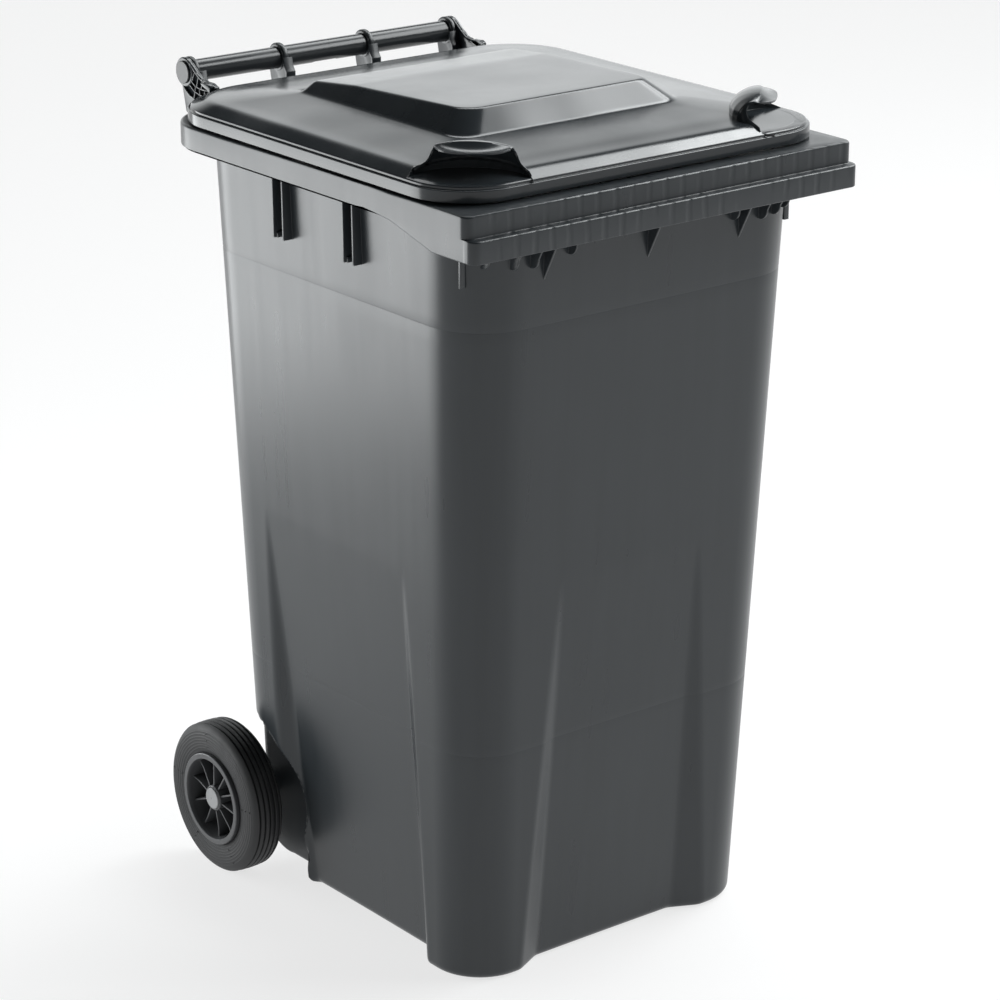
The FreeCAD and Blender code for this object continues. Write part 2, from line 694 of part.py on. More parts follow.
def make_wheel_rim(label):
    """The moulded wheel centre: hub, thin spokes, dished web and the seat for the tyre."""
    body = new_body(label)
    middle = size("wheel_x")
    seat, flange = size("rim_seat_radius"), size("rim_flange_radius")
    barrel = seat - 3.5
    half = size("tyre_half_width")
    inner_face, outer_face = middle - half, middle + half + 2.0
    web = middle - 15.0
    hub, bush = size("hub_radius"), size("bush_radius")
    hub_in, hub_out = size("hub_inner_x"), size("hub_outer_x")
    clear = size("axle_radius") + size("bush_clearance") + 0.3
    bush_end = size("lock_pin_x") - size("lock_pin_radius") - 3.0
    cap_seat = hub_out - 4.0
    revolve_about_x(body, "rim_turned", [
        (hub_in, bush + 2.0), (hub_in + 2.0, bush + 2.0), (hub_in + 2.0, bush), (bush_end, bush),
        (bush_end, clear), (cap_seat, clear), (cap_seat, hub - 3.0), (hub_out, hub - 3.0),
        (hub_out, hub), (web + 3.0, hub), (web + 3.0, barrel - 2.0), (outer_face - 5.0, barrel),
        (outer_face, barrel + 0.5), (outer_face, flange - 0.5), (outer_face - 0.5, flange),
        (outer_face - 5.0, flange), (outer_face - 7.0, seat), (inner_face + 5.0, seat),
        (inner_face + 3.0, flange), (inner_face + 0.5, flange), (inner_face, flange - 0.5),
        (inner_face, barrel), (web, barrel - 2.0), (web, hub), (hub_in, hub)])
    doc.recompute()
    spoke = body.newObject("PartDesign::Pad", "spoke")
    spoke.Profile = closed_sketch(body, "spoke_sketch", "XY_Plane", [
        (web + 1.0, hub - 1.0), (hub_out - 4.0, hub - 1.0), (outer_face - 24.0, barrel - 9.0),
        (outer_face - 14.0, barrel + 1.0), (web + 1.0, barrel + 1.0)])
    spoke.setExpression("Length", "Sizes.spoke_thickness")
    spoke.Midplane = True
    doc.recompute()
    ring = body.newObject("PartDesign::PolarPattern", "spoke_ring")
    ring.Originals = [spoke]
    ring.Axis = (origin_feature(body, "X_Axis"), [""])
    ring.Angle = 360.0
    ring.setExpression("Occurrences", "Sizes.spoke_count")
    body.Tip = ring
    doc.recompute()
    boss = body.newObject("PartDesign::Pad", "lock_boss")
    boss.Profile = round_sketch(body, "lock_boss_sketch", size("lock_pin_x"),
                                size("lock_boss_radius"), hub - 2.5)
    boss.setExpression("Length", (size("lock_boss_top") - hub + 2.5).text)
    doc.recompute()
    lock_hole = body.newObject("PartDesign::Pocket", "lock_pin_hole")
    lock_hole.Profile = round_sketch(body, "lock_hole_sketch", size("lock_pin_x"),
                                     size("lock_pin_radius"), size("axle_radius") - 2.0)
    lock_hole.Reversed = True
    lock_hole.setExpression("Length", (size("lock_hole_top") - size("axle_radius") + 2.0).text)
    body.Tip = lock_hole
    put_at(body, size("axle_y"), size("axle_z"))
    return body


def round_sketch(body, name, centre_x, radius, height):
    """A sketch of one circle centred on the X axis, raised to a height above it."""
    sketch = body.newObject("Sketcher::SketchObject", name)
    sketch.AttachmentSupport = [(origin_feature(body, "XY_Plane"), "")]
    sketch.MapMode = "FlatFace"
    sketch.setExpression("AttachmentOffset.Base.z", height.text)
    sketch.addGeometry(Part.Circle(VEC(centre_x.number, 0, 0), Z_AXIS, radius.number), False)
    across = sketch.addConstraint(Sketcher.Constraint("DistanceX", -1, 1, 0, 3, centre_x.number))
    sketch.setExpression(f"Constraints[{across}]", centre_x.text)
    sketch.addConstraint(Sketcher.Constraint("PointOnObject", 0, 3, -1))
    round_size = sketch.addConstraint(Sketcher.Constraint("Radius", 0, radius.number))
    sketch.setExpression(f"Constraints[{round_size}]", radius.text)
    return sketch


def make_tyre(label):
    """The solid rubber tyre, with rounded shoulders and grooves around its tread."""
    body = new_body(label)
    middle = size("wheel_x")
    half = size("tyre_half_width")
    seat, flange = size("rim_seat_radius"), size("rim_flange_radius")
    top = size("wheel_radius")
    groove_pitch, groove_depth, groove_half = 8.0, 2.2, 1.2
    points = [(middle - half + 5.0, seat), (middle + half - 5.0, seat), (middle + half - 3.0, flange),
              (middle + half, flange + 0.6), (middle + half, top - 18.0),
              (middle + half - 1.5, top - 9.0), (middle + half - 5.0, top - 3.0)]
    for step in (2, 1, 0, -1, -2):
        centre = middle + groove_pitch * step
        crown = top - 0.25 * step * step
        points += [(centre + groove_half, crown), (centre + groove_half * 0.4, crown - groove_depth),
                   (centre - groove_half * 0.4, crown - groove_depth), (centre - groove_half, crown)]
    points += [(middle - half + 5.0, top - 3.0), (middle - half + 1.5, top - 9.0),
               (middle - half, top - 18.0), (middle - half, flange + 0.6),
               (middle - half + 3.0, flange)]
    revolve_about_x(body, "tyre_turned", points)
    put_at(body, size("axle_y"), size("axle_z"))
    return body


def make_hub_cap(label):
    """The flat cap that closes the hub's outer end, with a dimple in its middle."""
    body = new_body(label)
    cap_seat = size("hub_outer_x") - 4.0
    edge = size("hub_radius") - 3.0
    face = size("hub_outer_x") + 2.0
    revolve_about_x(body, "cap_turned", [
        (cap_seat, 0.0), (cap_seat, edge), (face - 0.8, edge), (face, edge - 0.8), (face, 1.6),
        (face - 0.8, 0.0)])
    put_at(body, size("axle_y"), size("axle_z"))
    return body


def make_lock_pin(label):
    """The pin in the hub whose tip stands in the axle's groove and keeps the wheel on."""
    body = new_body(label)
    tip = size("axle_radius") - size("axle_groove_depth") + 0.3
    pin = body.newObject("PartDesign::Pad", "pin")
    pin.Profile = round_sketch(body, "pin_sketch", size("lock_pin_x"),
                               size("lock_pin_radius") - 0.1, tip)
    pin.setExpression("Length", (size("hub_radius") - tip).text)
    put_at(body, size("axle_y"), size("axle_z"))
    return body


def make_lock_spring(label):
    """The coil spring above the lock pin."""
    wire_radius = 0.45
    coil_radius = mm("lock_pin_radius") - wire_radius - 0.2
    low = mm("hub_radius") + wire_radius + 0.05
    height = mm("lock_hole_top") - low - wire_radius - 0.05
    turns = 5.0
    helix = Part.makeHelix(height / turns, height, coil_radius)
    helix.translate(VEC(mm("lock_pin_x"), 0, low))
    start = VEC(mm("lock_pin_x") + coil_radius, 0, low)
    profile = Part.Wire(Part.makeCircle(wire_radius, start, Y_AXIS))
    coil = Part.Wire(helix.Edges).makePipeShell([profile], True, True)
    feature = doc.addObject("Part::Feature", label)
    feature.Label = label
    feature.Shape = coil
    feature.Placement.Base = VEC(0, mm("axle_y"), mm("axle_z"))
    return feature


# ---------------------------------------------------------------- assembly

def build():
    parts = [make_container(), make_lid()]
    parts += make_handle_tube() + make_axle()
    for label, make in (("hinge_pin", make_hinge_pin), ("axle_spacer", make_axle_spacer)):
        parts += list(place_pair(label, make))
    for label, make in (("axle_bush", make_axle_bush), ("wheel_rim", make_wheel_rim),
                        ("tyre", make_tyre), ("hub_cap", make_hub_cap),
                        ("lock_pin", make_lock_pin), ("lock_spring", make_lock_spring)):
        parts += list(place_pair(label, make, mm("wheel_turn")))
    doc.recompute()
    return parts


def check(parts):
    for item in doc.Objects:
        bad = [word for word in item.State if word in ("Invalid", "Error")]
        if bad:
            raise RuntimeError(f"{item.Label} is {bad}")
    for part in parts:
        if part.Shape.isNull() or not part.Shape.isValid() or not part.Shape.Solids:
            raise RuntimeError(f"{part.Label} has no sound shape")
        print(f"{part.Label}: {len(part.Shape.Solids)} solid, {part.Shape.Volume / 1000:.1f} cm3")


def export(parts):
    os.makedirs("parts", exist_ok=True)
    for part in parts:
        part.Shape.exportStep(os.path.join("parts", f"{part.Label}.step"))


all_parts = build()
check(all_parts)
export(all_parts)
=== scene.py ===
"""Looks of the two-wheeled refuse bin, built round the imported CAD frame.

Lengths are in millimetres until a mesh is made, and the frame is the part's own: +Z up, the front
faces -Y, the origin on the ground.
"""
import json
import math

import bmesh
import bpy
import numpy as np
from mathutils import Matrix, Vector


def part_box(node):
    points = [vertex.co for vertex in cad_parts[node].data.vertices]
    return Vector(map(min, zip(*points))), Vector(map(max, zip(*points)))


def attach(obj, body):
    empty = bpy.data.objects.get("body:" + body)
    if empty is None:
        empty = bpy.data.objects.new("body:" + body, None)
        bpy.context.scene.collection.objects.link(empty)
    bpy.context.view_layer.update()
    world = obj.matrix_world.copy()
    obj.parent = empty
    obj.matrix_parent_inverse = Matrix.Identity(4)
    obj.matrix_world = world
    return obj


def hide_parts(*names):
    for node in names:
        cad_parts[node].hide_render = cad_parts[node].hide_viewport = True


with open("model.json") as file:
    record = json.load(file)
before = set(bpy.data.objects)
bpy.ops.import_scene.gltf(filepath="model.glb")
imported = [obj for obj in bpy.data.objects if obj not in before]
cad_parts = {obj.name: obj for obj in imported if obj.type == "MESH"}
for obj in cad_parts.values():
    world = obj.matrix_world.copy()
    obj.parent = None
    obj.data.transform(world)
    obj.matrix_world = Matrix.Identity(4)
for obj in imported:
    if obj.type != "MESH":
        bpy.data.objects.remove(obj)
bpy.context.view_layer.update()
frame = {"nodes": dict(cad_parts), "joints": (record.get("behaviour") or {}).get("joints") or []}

MM = 0.001


# ---- places taken from the frame

def span(name):
    """Lowest and highest corner of a CAD node in millimetres."""
    low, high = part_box(name)
    return np.array(low) / MM, np.array(high) / MM


def joint_point(name):
    """Where a joint is, in millimetres."""
    joint = next(j for j in frame["joints"] if j["name"] == name)
    return np.array(joint["pos_m"]) / MM


BODY_LOW, BODY_HIGH = span("body")
LID_LOW, LID_HIGH = span("lid")
HINGE = joint_point("lid_hinge")
AXLE = joint_point("wheel_right_spin")
TYRE_LOW, TYRE_HIGH = span("tyre_right")
WHEEL_OUTER = span("wheel_rim_right")[1][0]

# the container's rim, with its stepped comb lip
RIM_HALF = BODY_HIGH[0]
LIP_FRONT = BODY_LOW[1]
RIM_TOP = 991.0
RIM_REAR = 279.5
LIP_STEP = 12.0
LIP_STEP_Z = 964.0
RIM_WALL = 4.0
RIM_FRONT_RADIUS, RIM_REAR_RADIUS = 12.0, 80.0
RIM_FRONT_MARKS = [60.0, 110.0, 160.0, 214.0]
RIM_SIDE_MARKS = [-297.0, -280.0, -241.0, -202.0, -150.0, -60.0, 30.0, 110.0]
# the skirt's lower edge drops towards the front
SKIRT_Y = [-280.0, -202.5, -150.5, -140.0]
SKIRT_Z = [938.5, 959.0, 964.5, 963.0]

# the container's walls at the ground, and how far they have moved out at the rim's top
WALL = 4.5
BASE_HALF, BASE_FRONT, BASE_REAR, BASE_RADIUS = 226.0, -262.5, 215.5, 66.0
SPREAD_HALF, SPREAD_FRONT, SPREAD_REAR, SPREAD_RADIUS = 34.5, -48.5, 35.0, 14.0
EDGE_TOP = 12.0
EDGE_RADIUS, FOOT_EDGE_RADIUS, HEEL_EDGE_RADIUS = 10.0, 5.0, 2.0
# below this height the rows of the walls bend to the shape of the underside
LEVEL_TURN = 250.0

# the underside: a raised stretch behind the toe, and a round heel under the axle
TOE_END, TOE_RISE = 104.0, 21.0
HEEL_Y, HEEL_Z, HEEL_RADIUS = 157.5, 79.0, 58.0

# the recesses in the front and the sides: depth at the ground, and folds at the ground and at the top
FOLD_TOP = 512.0
FRONT_DIP, SIDE_DIP = 18.0, 27.0
FRONT_FOLDS_LOW, FRONT_FOLDS_HIGH = (110.0, 148.0), (103.0, 109.0)
SIDE_FOLDS_LOW, SIDE_FOLDS_HIGH = (-176.0, -145.0, 95.0, 127.0), (-160.5, -154.5, 124.0, 130.0)

# the hollow round a wheel, with its flat face, and the channel for the axle
ARCH_RADIUS, ARCH_FACE, ARCH_FRONT = 104.0, 199.0, 40.0
ARCH_BELOW, ARCH_BEHIND = 24.0, 16.0
CHANNEL_RADIUS = 26.0

# two hair-thin mould lines round the walls
LINE_LEVELS, LINE_DEPTH, LINE_WIDTH = (303.0, 835.0), 0.2, 0.8


# ---- number helpers

def soft_ramp(x, low, high, margin):
    """0 below low, 1 above high, straight between, with both bends rounded over margin."""
    def bend(d):
        inside = (d + margin) ** 2 / (4.0 * margin)
        return np.where(d < -margin, 0.0, np.where(d > margin, d, inside))
    return (bend(x - low) - bend(x - high)) / (high - low)


def soft_min(a, b, k):
    """The smaller of two numbers, rounded where they cross."""
    h = np.clip(0.5 + 0.5 * (b - a) / k, 0.0, 1.0)
    return b * (1.0 - h) + a * h - k * h * (1.0 - h)


def smooth_step(x, low, high):
    """0 below low, 1 above high, with a smooth rise between."""
    s = np.clip((x - low) / (high - low), 0.0, 1.0)
    return s * s * (3.0 - 2.0 * s)


def stations(marks, counts):
    """Evenly spaced values between marks, counts[i] steps from mark i to mark i + 1."""
    values = []
    for start, end, count in zip(marks, marks[1:], counts):
        values.extend(start + (end - start) * np.arange(count) / count)
    return np.array(values + [marks[-1]])


def quarter(centre_x, centre_y, radius, start, steps):
    """Points of a quarter circle without its ends, from an angle in degrees."""
    turn = np.radians(start + 90.0 * np.arange(1, steps) / steps)
    return centre_x + radius * np.cos(turn), centre_y + radius * np.sin(turn)


def arc_points(centre, radius, start, end, steps):
    """Points on an arc between two angles in degrees, with both ends."""
    turns = np.radians(np.linspace(start, end, steps + 1))
    return [(centre[0] + radius * math.cos(t), centre[1] + radius * math.sin(t)) for t in turns]


# ---- mesh helpers

def new_mesh(name, points, faces):
    """A mesh from points in millimetres."""
    mesh = bpy.data.meshes.new(name)
    mesh.from_pydata((np.asarray(points) * MM).tolist(), [], faces)
    mesh.validate()
    return mesh


def new_object(name, mesh):
    """An object with this mesh, in the scene."""
    obj = bpy.data.objects.new(name, mesh)
    bpy.context.scene.collection.objects.link(obj)
    return obj


def tidy_mesh(mesh):
    """Welds doubled points, turns every face outwards and shades smoothly below the sharp angle."""
    weld, sliver, sharp_angle = 0.02, 0.002, 32.0
    bm = bmesh.new()
    bm.from_mesh(mesh)
    bmesh.ops.remove_doubles(bm, verts=bm.verts, dist=weld * MM)
    bmesh.ops.dissolve_degenerate(bm, edges=bm.edges, dist=sliver * MM)
    bmesh.ops.recalc_face_normals(bm, faces=bm.faces)
    bm.to_mesh(mesh)
    bm.free()
    mesh.polygons.foreach_set("use_smooth", [True] * len(mesh.polygons))
    mesh.set_sharp_from_angle(angle=math.radians(sharp_angle))
    mesh.update()


def loop_faces(rings, count, wrap=False):
    """Quads between closed rings of the same count; wrap joins the last ring to the first."""
    faces = []
    for row in range(rings if wrap else rings - 1):
        here, above = row * count, (row + 1) % rings * count
        for col in range(count):
            nxt = (col + 1) % count
            faces.append((here + col, here + nxt, above + nxt, above + col))
    return faces


def whole_ring(x, y, z):
    """Mirrors a half ring that runs from the front middle to the rear middle into a whole one."""
    right = np.stack([x, y, z], axis=1)
    left = right[-2:0:-1] * np.array([-1.0, 1.0, 1.0])
    return np.concatenate([right, left])


def rounded_rings(keys, radii, steps=4):
    """Key rings joined straight, with the bend at each one rounded over its radius."""
    reach = 0.45
    rings = [keys[0]]
    for before, here, after, radius in zip(keys, keys[1:], keys[2:], radii[1:]):
        if radius <= 0.0:
            rings.append(here)
            continue
        ends = []
        for towards in (before - here, after - here):
            length = np.linalg.norm(towards, axis=1, keepdims=True)
            ends.append(here + towards / np.maximum(length, 1e-6) * np.minimum(radius, length * reach))
        start, end = ends
        for step in range(steps + 1):
            s = step / steps
            rings.append(start * (1 - s) ** 2 + here * 2 * s * (1 - s) + end * s * s)
    rings.append(keys[-1])
    return rings


def shell_from_rings(name, rings):
    """A closed mesh from rings, with a small cap on the first and the last one."""
    count = len(rings[0])
    faces = loop_faces(len(rings), count)
    faces.append(tuple(range(count - 1, -1, -1)))
    start = (len(rings) - 1) * count
    faces.append(tuple(range(start, start + count)))
    return new_mesh(name, np.concatenate(rings), faces)


def bevel_edges(bm, width):
    """Bevels every sharp edge in two segments."""
    sharp = math.radians(25.0)
    edges = [e for e in bm.edges if len(e.link_faces) == 2 and e.calc_face_angle(0.0) > sharp]
    bmesh.ops.bevel(bm, geom=edges, offset=width * MM, segments=2, profile=0.5, affect="EDGES",
                    clamp_overlap=True)


def prism(name, outline, axis, start, end, bevel):
    """An extruded outline. axis is the letter it runs along; outline is in the other two."""
    bm = bmesh.new()

    def at(u, v, w):
        order = {"x": (w, u, v), "y": (u, w, v), "z": (u, v, w)}
        return Vector(order[axis]) * MM

    low = [bm.verts.new(at(u, v, start)) for u, v in outline]
    high = [bm.verts.new(at(u, v, end)) for u, v in outline]
    count = len(outline)
    bm.faces.new(low)
    bm.faces.new(high[::-1])
    for index in range(count):
        nxt = (index + 1) % count
        bm.faces.new((low[index], high[index], high[nxt], low[nxt]))
    bmesh.ops.recalc_face_normals(bm, faces=bm.faces)
    if bevel > 0.0:
        bevel_edges(bm, bevel)
    mesh = bpy.data.meshes.new(name)
    bm.to_mesh(mesh)
    bm.free()
    return mesh


def both_sides(mesh):
    """The mesh and its mirror image on the other side of the X = 0 plane."""
    copy = mesh.copy()
    copy.name = mesh.name + "_l"
    copy.transform(Matrix.Scale(-1.0, 4, (1.0, 0.0, 0.0)))
    copy.flip_normals()
    return [mesh, copy]


def from_hinge(points):
    """Outline points given from the lid's hinge."""
    return [(HINGE[1] + y, HINGE[2] + z) for y, z in points]


def shifted(mesh, x, y, z):
    """Moves a mesh by millimetres."""
    mesh.transform(Matrix.Translation(Vector((x, y, z)) * MM))
    return mesh


def join_meshes(name, meshes):
    """One mesh holding all of these."""
    bm = bmesh.new()
    for mesh in meshes:
        bm.from_mesh(mesh)
    joined = bpy.data.meshes.new(name)
    bm.to_mesh(joined)
    bm.free()
    for mesh in meshes:
        bpy.data.meshes.remove(mesh)
    return joined


def cut_with(obj, cutters):
    """Takes the cutter meshes out of the object."""
    for mesh in cutters:
        tool = new_object("cutter", mesh)
        change = obj.modifiers.new("cut", "BOOLEAN")
        change.operation = "DIFFERENCE"
        change.object = tool
        change.solver = "EXACT"
        bpy.context.view_layer.update()
        depsgraph = bpy.context.evaluated_depsgraph_get()
        result = bpy.data.meshes.new_from_object(obj.evaluated_get(depsgraph))
        obj.modifiers.remove(change)
        old = obj.data
        obj.data = result
        bpy.data.meshes.remove(old)
        bpy.data.objects.remove(tool)


def turned(name, profile, segments):
    """A solid of revolution about the X axis from (x, radius) points."""
    points = []
    for step in range(segments):
        turn = 2.0 * math.pi * step / segments
        points += [(x, radius * math.cos(turn), radius * math.sin(turn)) for x, radius in profile]
    return new_mesh(name, points, loop_faces(segments, len(profile), wrap=True))


# ---- materials

def feed(made, inputs):
    """Links outputs to a node's sockets, or sets numbers on them."""
    for socket, value in inputs.items():
        if isinstance(value, bpy.types.NodeSocket):
            made.id_data.links.new(value, made.inputs[socket])
        else:
            made.inputs[socket].default_value = value


def node(tree, kind, inputs=None, **settings):
    """A new node with its settings and its inputs, in a row after the others."""
    made = tree.nodes.new(kind)
    made.location = (200.0 * len(tree.nodes), 0.0)
    for key, value in settings.items():
        setattr(made, key, value)
    feed(made, inputs or {})
    return made


def maths(tree, operation, *values):
    """One operation on outputs and numbers."""
    return node(tree, "ShaderNodeMath", dict(enumerate(values)), operation=operation).outputs["Value"]


def mapped(tree, value, source, target, curve="LINEAR"):
    """Maps the source range of a number onto the target range."""
    inputs = dict(zip(("From Min", "From Max", "To Min", "To Max"), source + target), Value=value)
    return node(tree, "ShaderNodeMapRange", inputs, interpolation_type=curve).outputs["Result"]


def soft_mask(tree, value, low, high, rising=True):
    """A smooth step of a number between two values."""
    target = (0.0, 1.0) if rising else (1.0, 0.0)
    return mapped(tree, value, (low, high), target, "SMOOTHSTEP")


def noise(tree, vector, scale, detail=2.0):
    """Soft noise, with a number of finer octaves."""
    inputs = {"Vector": vector, "Scale": scale, "Detail": detail}
    return node(tree, "ShaderNodeTexNoise", inputs).outputs["Fac"]


def stretched(tree, vector, scale):
    """The coordinates scaled by three numbers."""
    return node(tree, "ShaderNodeMapping", {"Vector": vector, "Scale": scale}).outputs["Vector"]


def two_tone(tree, value, places, dark, light):
    """A colour that goes from dark to light between two places of a number."""
    made = node(tree, "ShaderNodeValToRGB", {"Fac": value})
    for element, place, colour in zip(made.color_ramp.elements, places, (dark, light)):
        element.position = place
        element.color = (*colour, 1.0)
    return made.outputs["Color"]


def relief(tree, height, distance, before=None, strength=1.0):
    """Bumps up to a distance in millimetres, laid over an earlier normal."""
    inputs = {"Height": height, "Distance": distance * MM, "Strength": strength}
    if before is not None:
        inputs["Normal"] = before
    return node(tree, "ShaderNodeBump", inputs).outputs["Normal"]


def new_material(name):
    """A material with its node tree and its shader."""
    material = bpy.data.materials.new(name)
    material.use_nodes = True
    return material, material.node_tree, material.node_tree.nodes["Principled BSDF"]


def moulded_plastic(name, dark, light, rough, grain, grain_scale=1500.0, streak=0.5, edge_radius=0.7,
                    marks=False, wave=0.0):
    """Moulded polyethylene: soft grain, faint flow streaks and unevenly worn gloss."""
    material, tree, shader = new_material(name)
    place = node(tree, "ShaderNodeTexCoord").outputs["Object"]
    cloud = noise(tree, place, 7.0, detail=5.0)
    streaks = noise(tree, stretched(tree, place, (60.0, 60.0, 2.0)), 1.0, detail=1.0)
    mix = node(tree, "ShaderNodeMix", {"Factor": streak, "A": cloud, "B": streaks}, data_type="FLOAT")
    blend = mix.outputs["Result"]
    under = node(tree, "ShaderNodeBevel", {"Radius": edge_radius * MM}, samples=4).outputs["Normal"]
    if marks:
        under = sink_marks(tree, place, under)
    if wave:
        under = relief(tree, noise(tree, place, 9.0, detail=0.0), wave, before=under)
    fine = noise(tree, place, grain_scale)
    feed(shader, {"IOR": 1.51, "Specular IOR Level": 0.45,
                  "Base Color": two_tone(tree, blend, (0.3, 0.75), dark, light),
                  "Roughness": mapped(tree, blend, (0.3, 0.7), rough),
                  "Normal": relief(tree, fine, 0.1, before=under, strength=grain)})
    return material


def sink_marks(tree, place, before):
    """Faint upright dents on the comb lip's front, one over each rib behind it."""
    half_pitch, dent_depth = 12.5, 0.55
    parts = node(tree, "ShaderNodeSeparateXYZ", {"Vector": place})
    shift = maths(tree, "MULTIPLY_ADD", noise(tree, place, 30.0), 0.006, parts.outputs["X"])
    nearest = maths(tree, "PINGPONG", shift, half_pitch * MM)
    dent = soft_mask(tree, nearest, 0.5 * MM, 6.0 * MM)
    lip = soft_mask(tree, parts.outputs["Y"], -340.0 * MM, -336.0 * MM, rising=False)
    strong = soft_mask(tree, noise(tree, place, 16.0), 0.35, 0.65)
    depth = maths(tree, "MULTIPLY", dent, maths(tree, "MULTIPLY", lip, strong))
    return relief(tree, depth, dent_depth, before=before)


def turned_steel(name, tint):
    """Bright turned steel with fine rings along X."""
    material, tree, shader = new_material(name)
    place = node(tree, "ShaderNodeTexCoord").outputs["Object"]
    rings = noise(tree, stretched(tree, place, (4000.0, 60.0, 60.0)), 1.0)
    feed(shader, {"Metallic": 1.0,
                  "Base Color": two_tone(tree, rings, (0.0, 1.0), [c * 0.75 for c in tint], tint),
                  "Roughness": mapped(tree, rings, (0.0, 1.0), (0.22, 0.42)),
                  "Normal": relief(tree, rings, 0.05, strength=0.15)})
    return material


# tones from dark to light, gloss from low to high roughness, and the strength of the grain
CONTAINER_PLASTIC = moulded_plastic(
    "container_plastic", (0.021, 0.0255, 0.029), (0.028, 0.033, 0.037), (0.26, 0.35), 0.1, marks=True)
LID_PLASTIC = moulded_plastic(
    "lid_plastic", (0.02, 0.0245, 0.028), (0.026, 0.031, 0.035), (0.13, 0.21), 0.04, streak=0.25, wave=2.0)
TUBE_PLASTIC = moulded_plastic(
    "tube_plastic", (0.03, 0.033, 0.036), (0.04, 0.044, 0.047), (0.13, 0.22), 0.06, streak=0.2,
    edge_radius=0.4)
PIN_PLASTIC = moulded_plastic(
    "pin_plastic", (0.03, 0.032, 0.034), (0.04, 0.042, 0.045), (0.3, 0.42), 0.12, edge_radius=0.5)
BEARING_PLASTIC = moulded_plastic(
    "bearing_plastic", (0.09, 0.09, 0.09), (0.13, 0.13, 0.13), (0.35, 0.45), 0.1)
WHEEL_PLASTIC = moulded_plastic(
    "wheel_plastic", (0.058, 0.06, 0.063), (0.078, 0.08, 0.084), (0.3, 0.42), 0.15, edge_radius=0.5)
CAP_PLASTIC = moulded_plastic(
    "cap_plastic", (0.26, 0.265, 0.27), (0.34, 0.345, 0.35), (0.35, 0.5), 0.15, edge_radius=0.4)
TYRE_RUBBER = moulded_plastic(
    "tyre_rubber", (0.014, 0.0145, 0.0155), (0.032, 0.033, 0.035), (0.5, 0.72), 0.6, grain_scale=1100.0,
    edge_radius=0.5)
AXLE_STEEL = turned_steel("axle_steel", (0.62, 0.63, 0.64))
SPRING_STEEL = turned_steel("spring_steel", (0.55, 0.55, 0.56))


# ---- container

# steps across the front, round a corner, along the side and across the rear, between the marks
CONTAINER_COUNTS = ([12, 6, 6, 6, 6], 14, [8, 6, 6, 6, 30, 6, 6, 6, 8], 16)
LID_COUNTS = ([34], 26, [60], 34)
FRONT_END = sum(CONTAINER_COUNTS[0])
SIDE_START = FRONT_END + CONTAINER_COUNTS[1]
SIDE_END = SIDE_START + sum(CONTAINER_COUNTS[2])


def half_outline(counts, half, front, rear, front_radius, rear_radius, front_marks=(), side_marks=(),
                 rear_half=None):
    """Half of a rounded rectangle from the front middle round +X to the rear middle.

    Each mark gets a point, and rear_half lets the sides run to another width at the rear.
    """
    front_counts, corner_count, side_counts, rear_count = counts
    rear_half = half if rear_half is None else rear_half
    x1 = stations([0.0, *front_marks, half - front_radius], front_counts)
    y1 = np.full_like(x1, front)
    x2, y2 = quarter(half - front_radius, front + front_radius, front_radius, -90.0, corner_count)
    y3 = stations([front + front_radius, *side_marks, rear - rear_radius], side_counts)
    x3 = half + (rear_half - half) * (y3 - y3[0]) / (y3[-1] - y3[0])
    x4, y4 = quarter(rear_half - rear_radius, rear - rear_radius, rear_radius, 0.0, corner_count)
    x5 = stations([rear_half - rear_radius, 0.0], [rear_count])
    y5 = np.full_like(x5, rear)
    return np.concatenate([x1, x2, x3, x4, x5]), np.concatenate([y1, y2, y3, y4, y5])


def wall_sizes(z):
    """Half width, front, rear and corner radius of the walls at a height."""
    share = max(z, 0.0) / RIM_TOP
    return (BASE_HALF + SPREAD_HALF * share, BASE_FRONT + SPREAD_FRONT * share,
            BASE_REAR + SPREAD_REAR * share, BASE_RADIUS + SPREAD_RADIUS * share)


def wall_folds(z, grow):
    """Where the folds of the recesses are at this height: across the front, and along the side."""
    share = min(max(z, 0.0) / FOLD_TOP, 1.0)

    def between(lows, highs, shift):
        return [low + (high - low) * share + shift for low, high in zip(lows, highs)]

    front = between(FRONT_FOLDS_LOW, FRONT_FOLDS_HIGH, grow * 0.5)
    return front, between(SIDE_FOLDS_LOW, SIDE_FOLDS_HIGH, 0.0)


def with_margins(folds):
    """Each fold becomes two marks, a margin before and after it."""
    widest, most = 5.0, 0.42
    marks, margins = [], []
    for index, fold in enumerate(folds):
        partner = folds[index + 1] if index % 2 == 0 else folds[index - 1]
        margin = min(widest, most * abs(partner - fold))
        marks += [fold - margin, fold + margin]
        margins.append(margin)
    return marks, margins


def base_height(y, raised):
    """Height of the underside below a point at this depth."""
    foot = np.where(y > TOE_END - raised, TOE_RISE, 0.0)
    reach = np.clip(y - HEEL_Y, 0.0, HEEL_RADIUS - raised)
    heel = HEEL_Z - np.sqrt(np.maximum((HEEL_RADIUS - raised) ** 2 - reach ** 2, 0.0))
    return np.where(y > HEEL_Y, heel, foot + raised)


def wall_outline(level, grow):
    """Half of the walls' plain outline at a height, grow inside the outer face."""
    half, front, rear, radius = wall_sizes(level)
    front_marks, side_marks = (with_margins(folds)[0] for folds in wall_folds(level, grow))
    return half_outline(CONTAINER_COUNTS, half - grow, front + grow, rear - grow, radius - grow,
                        radius - grow, front_marks, side_marks)


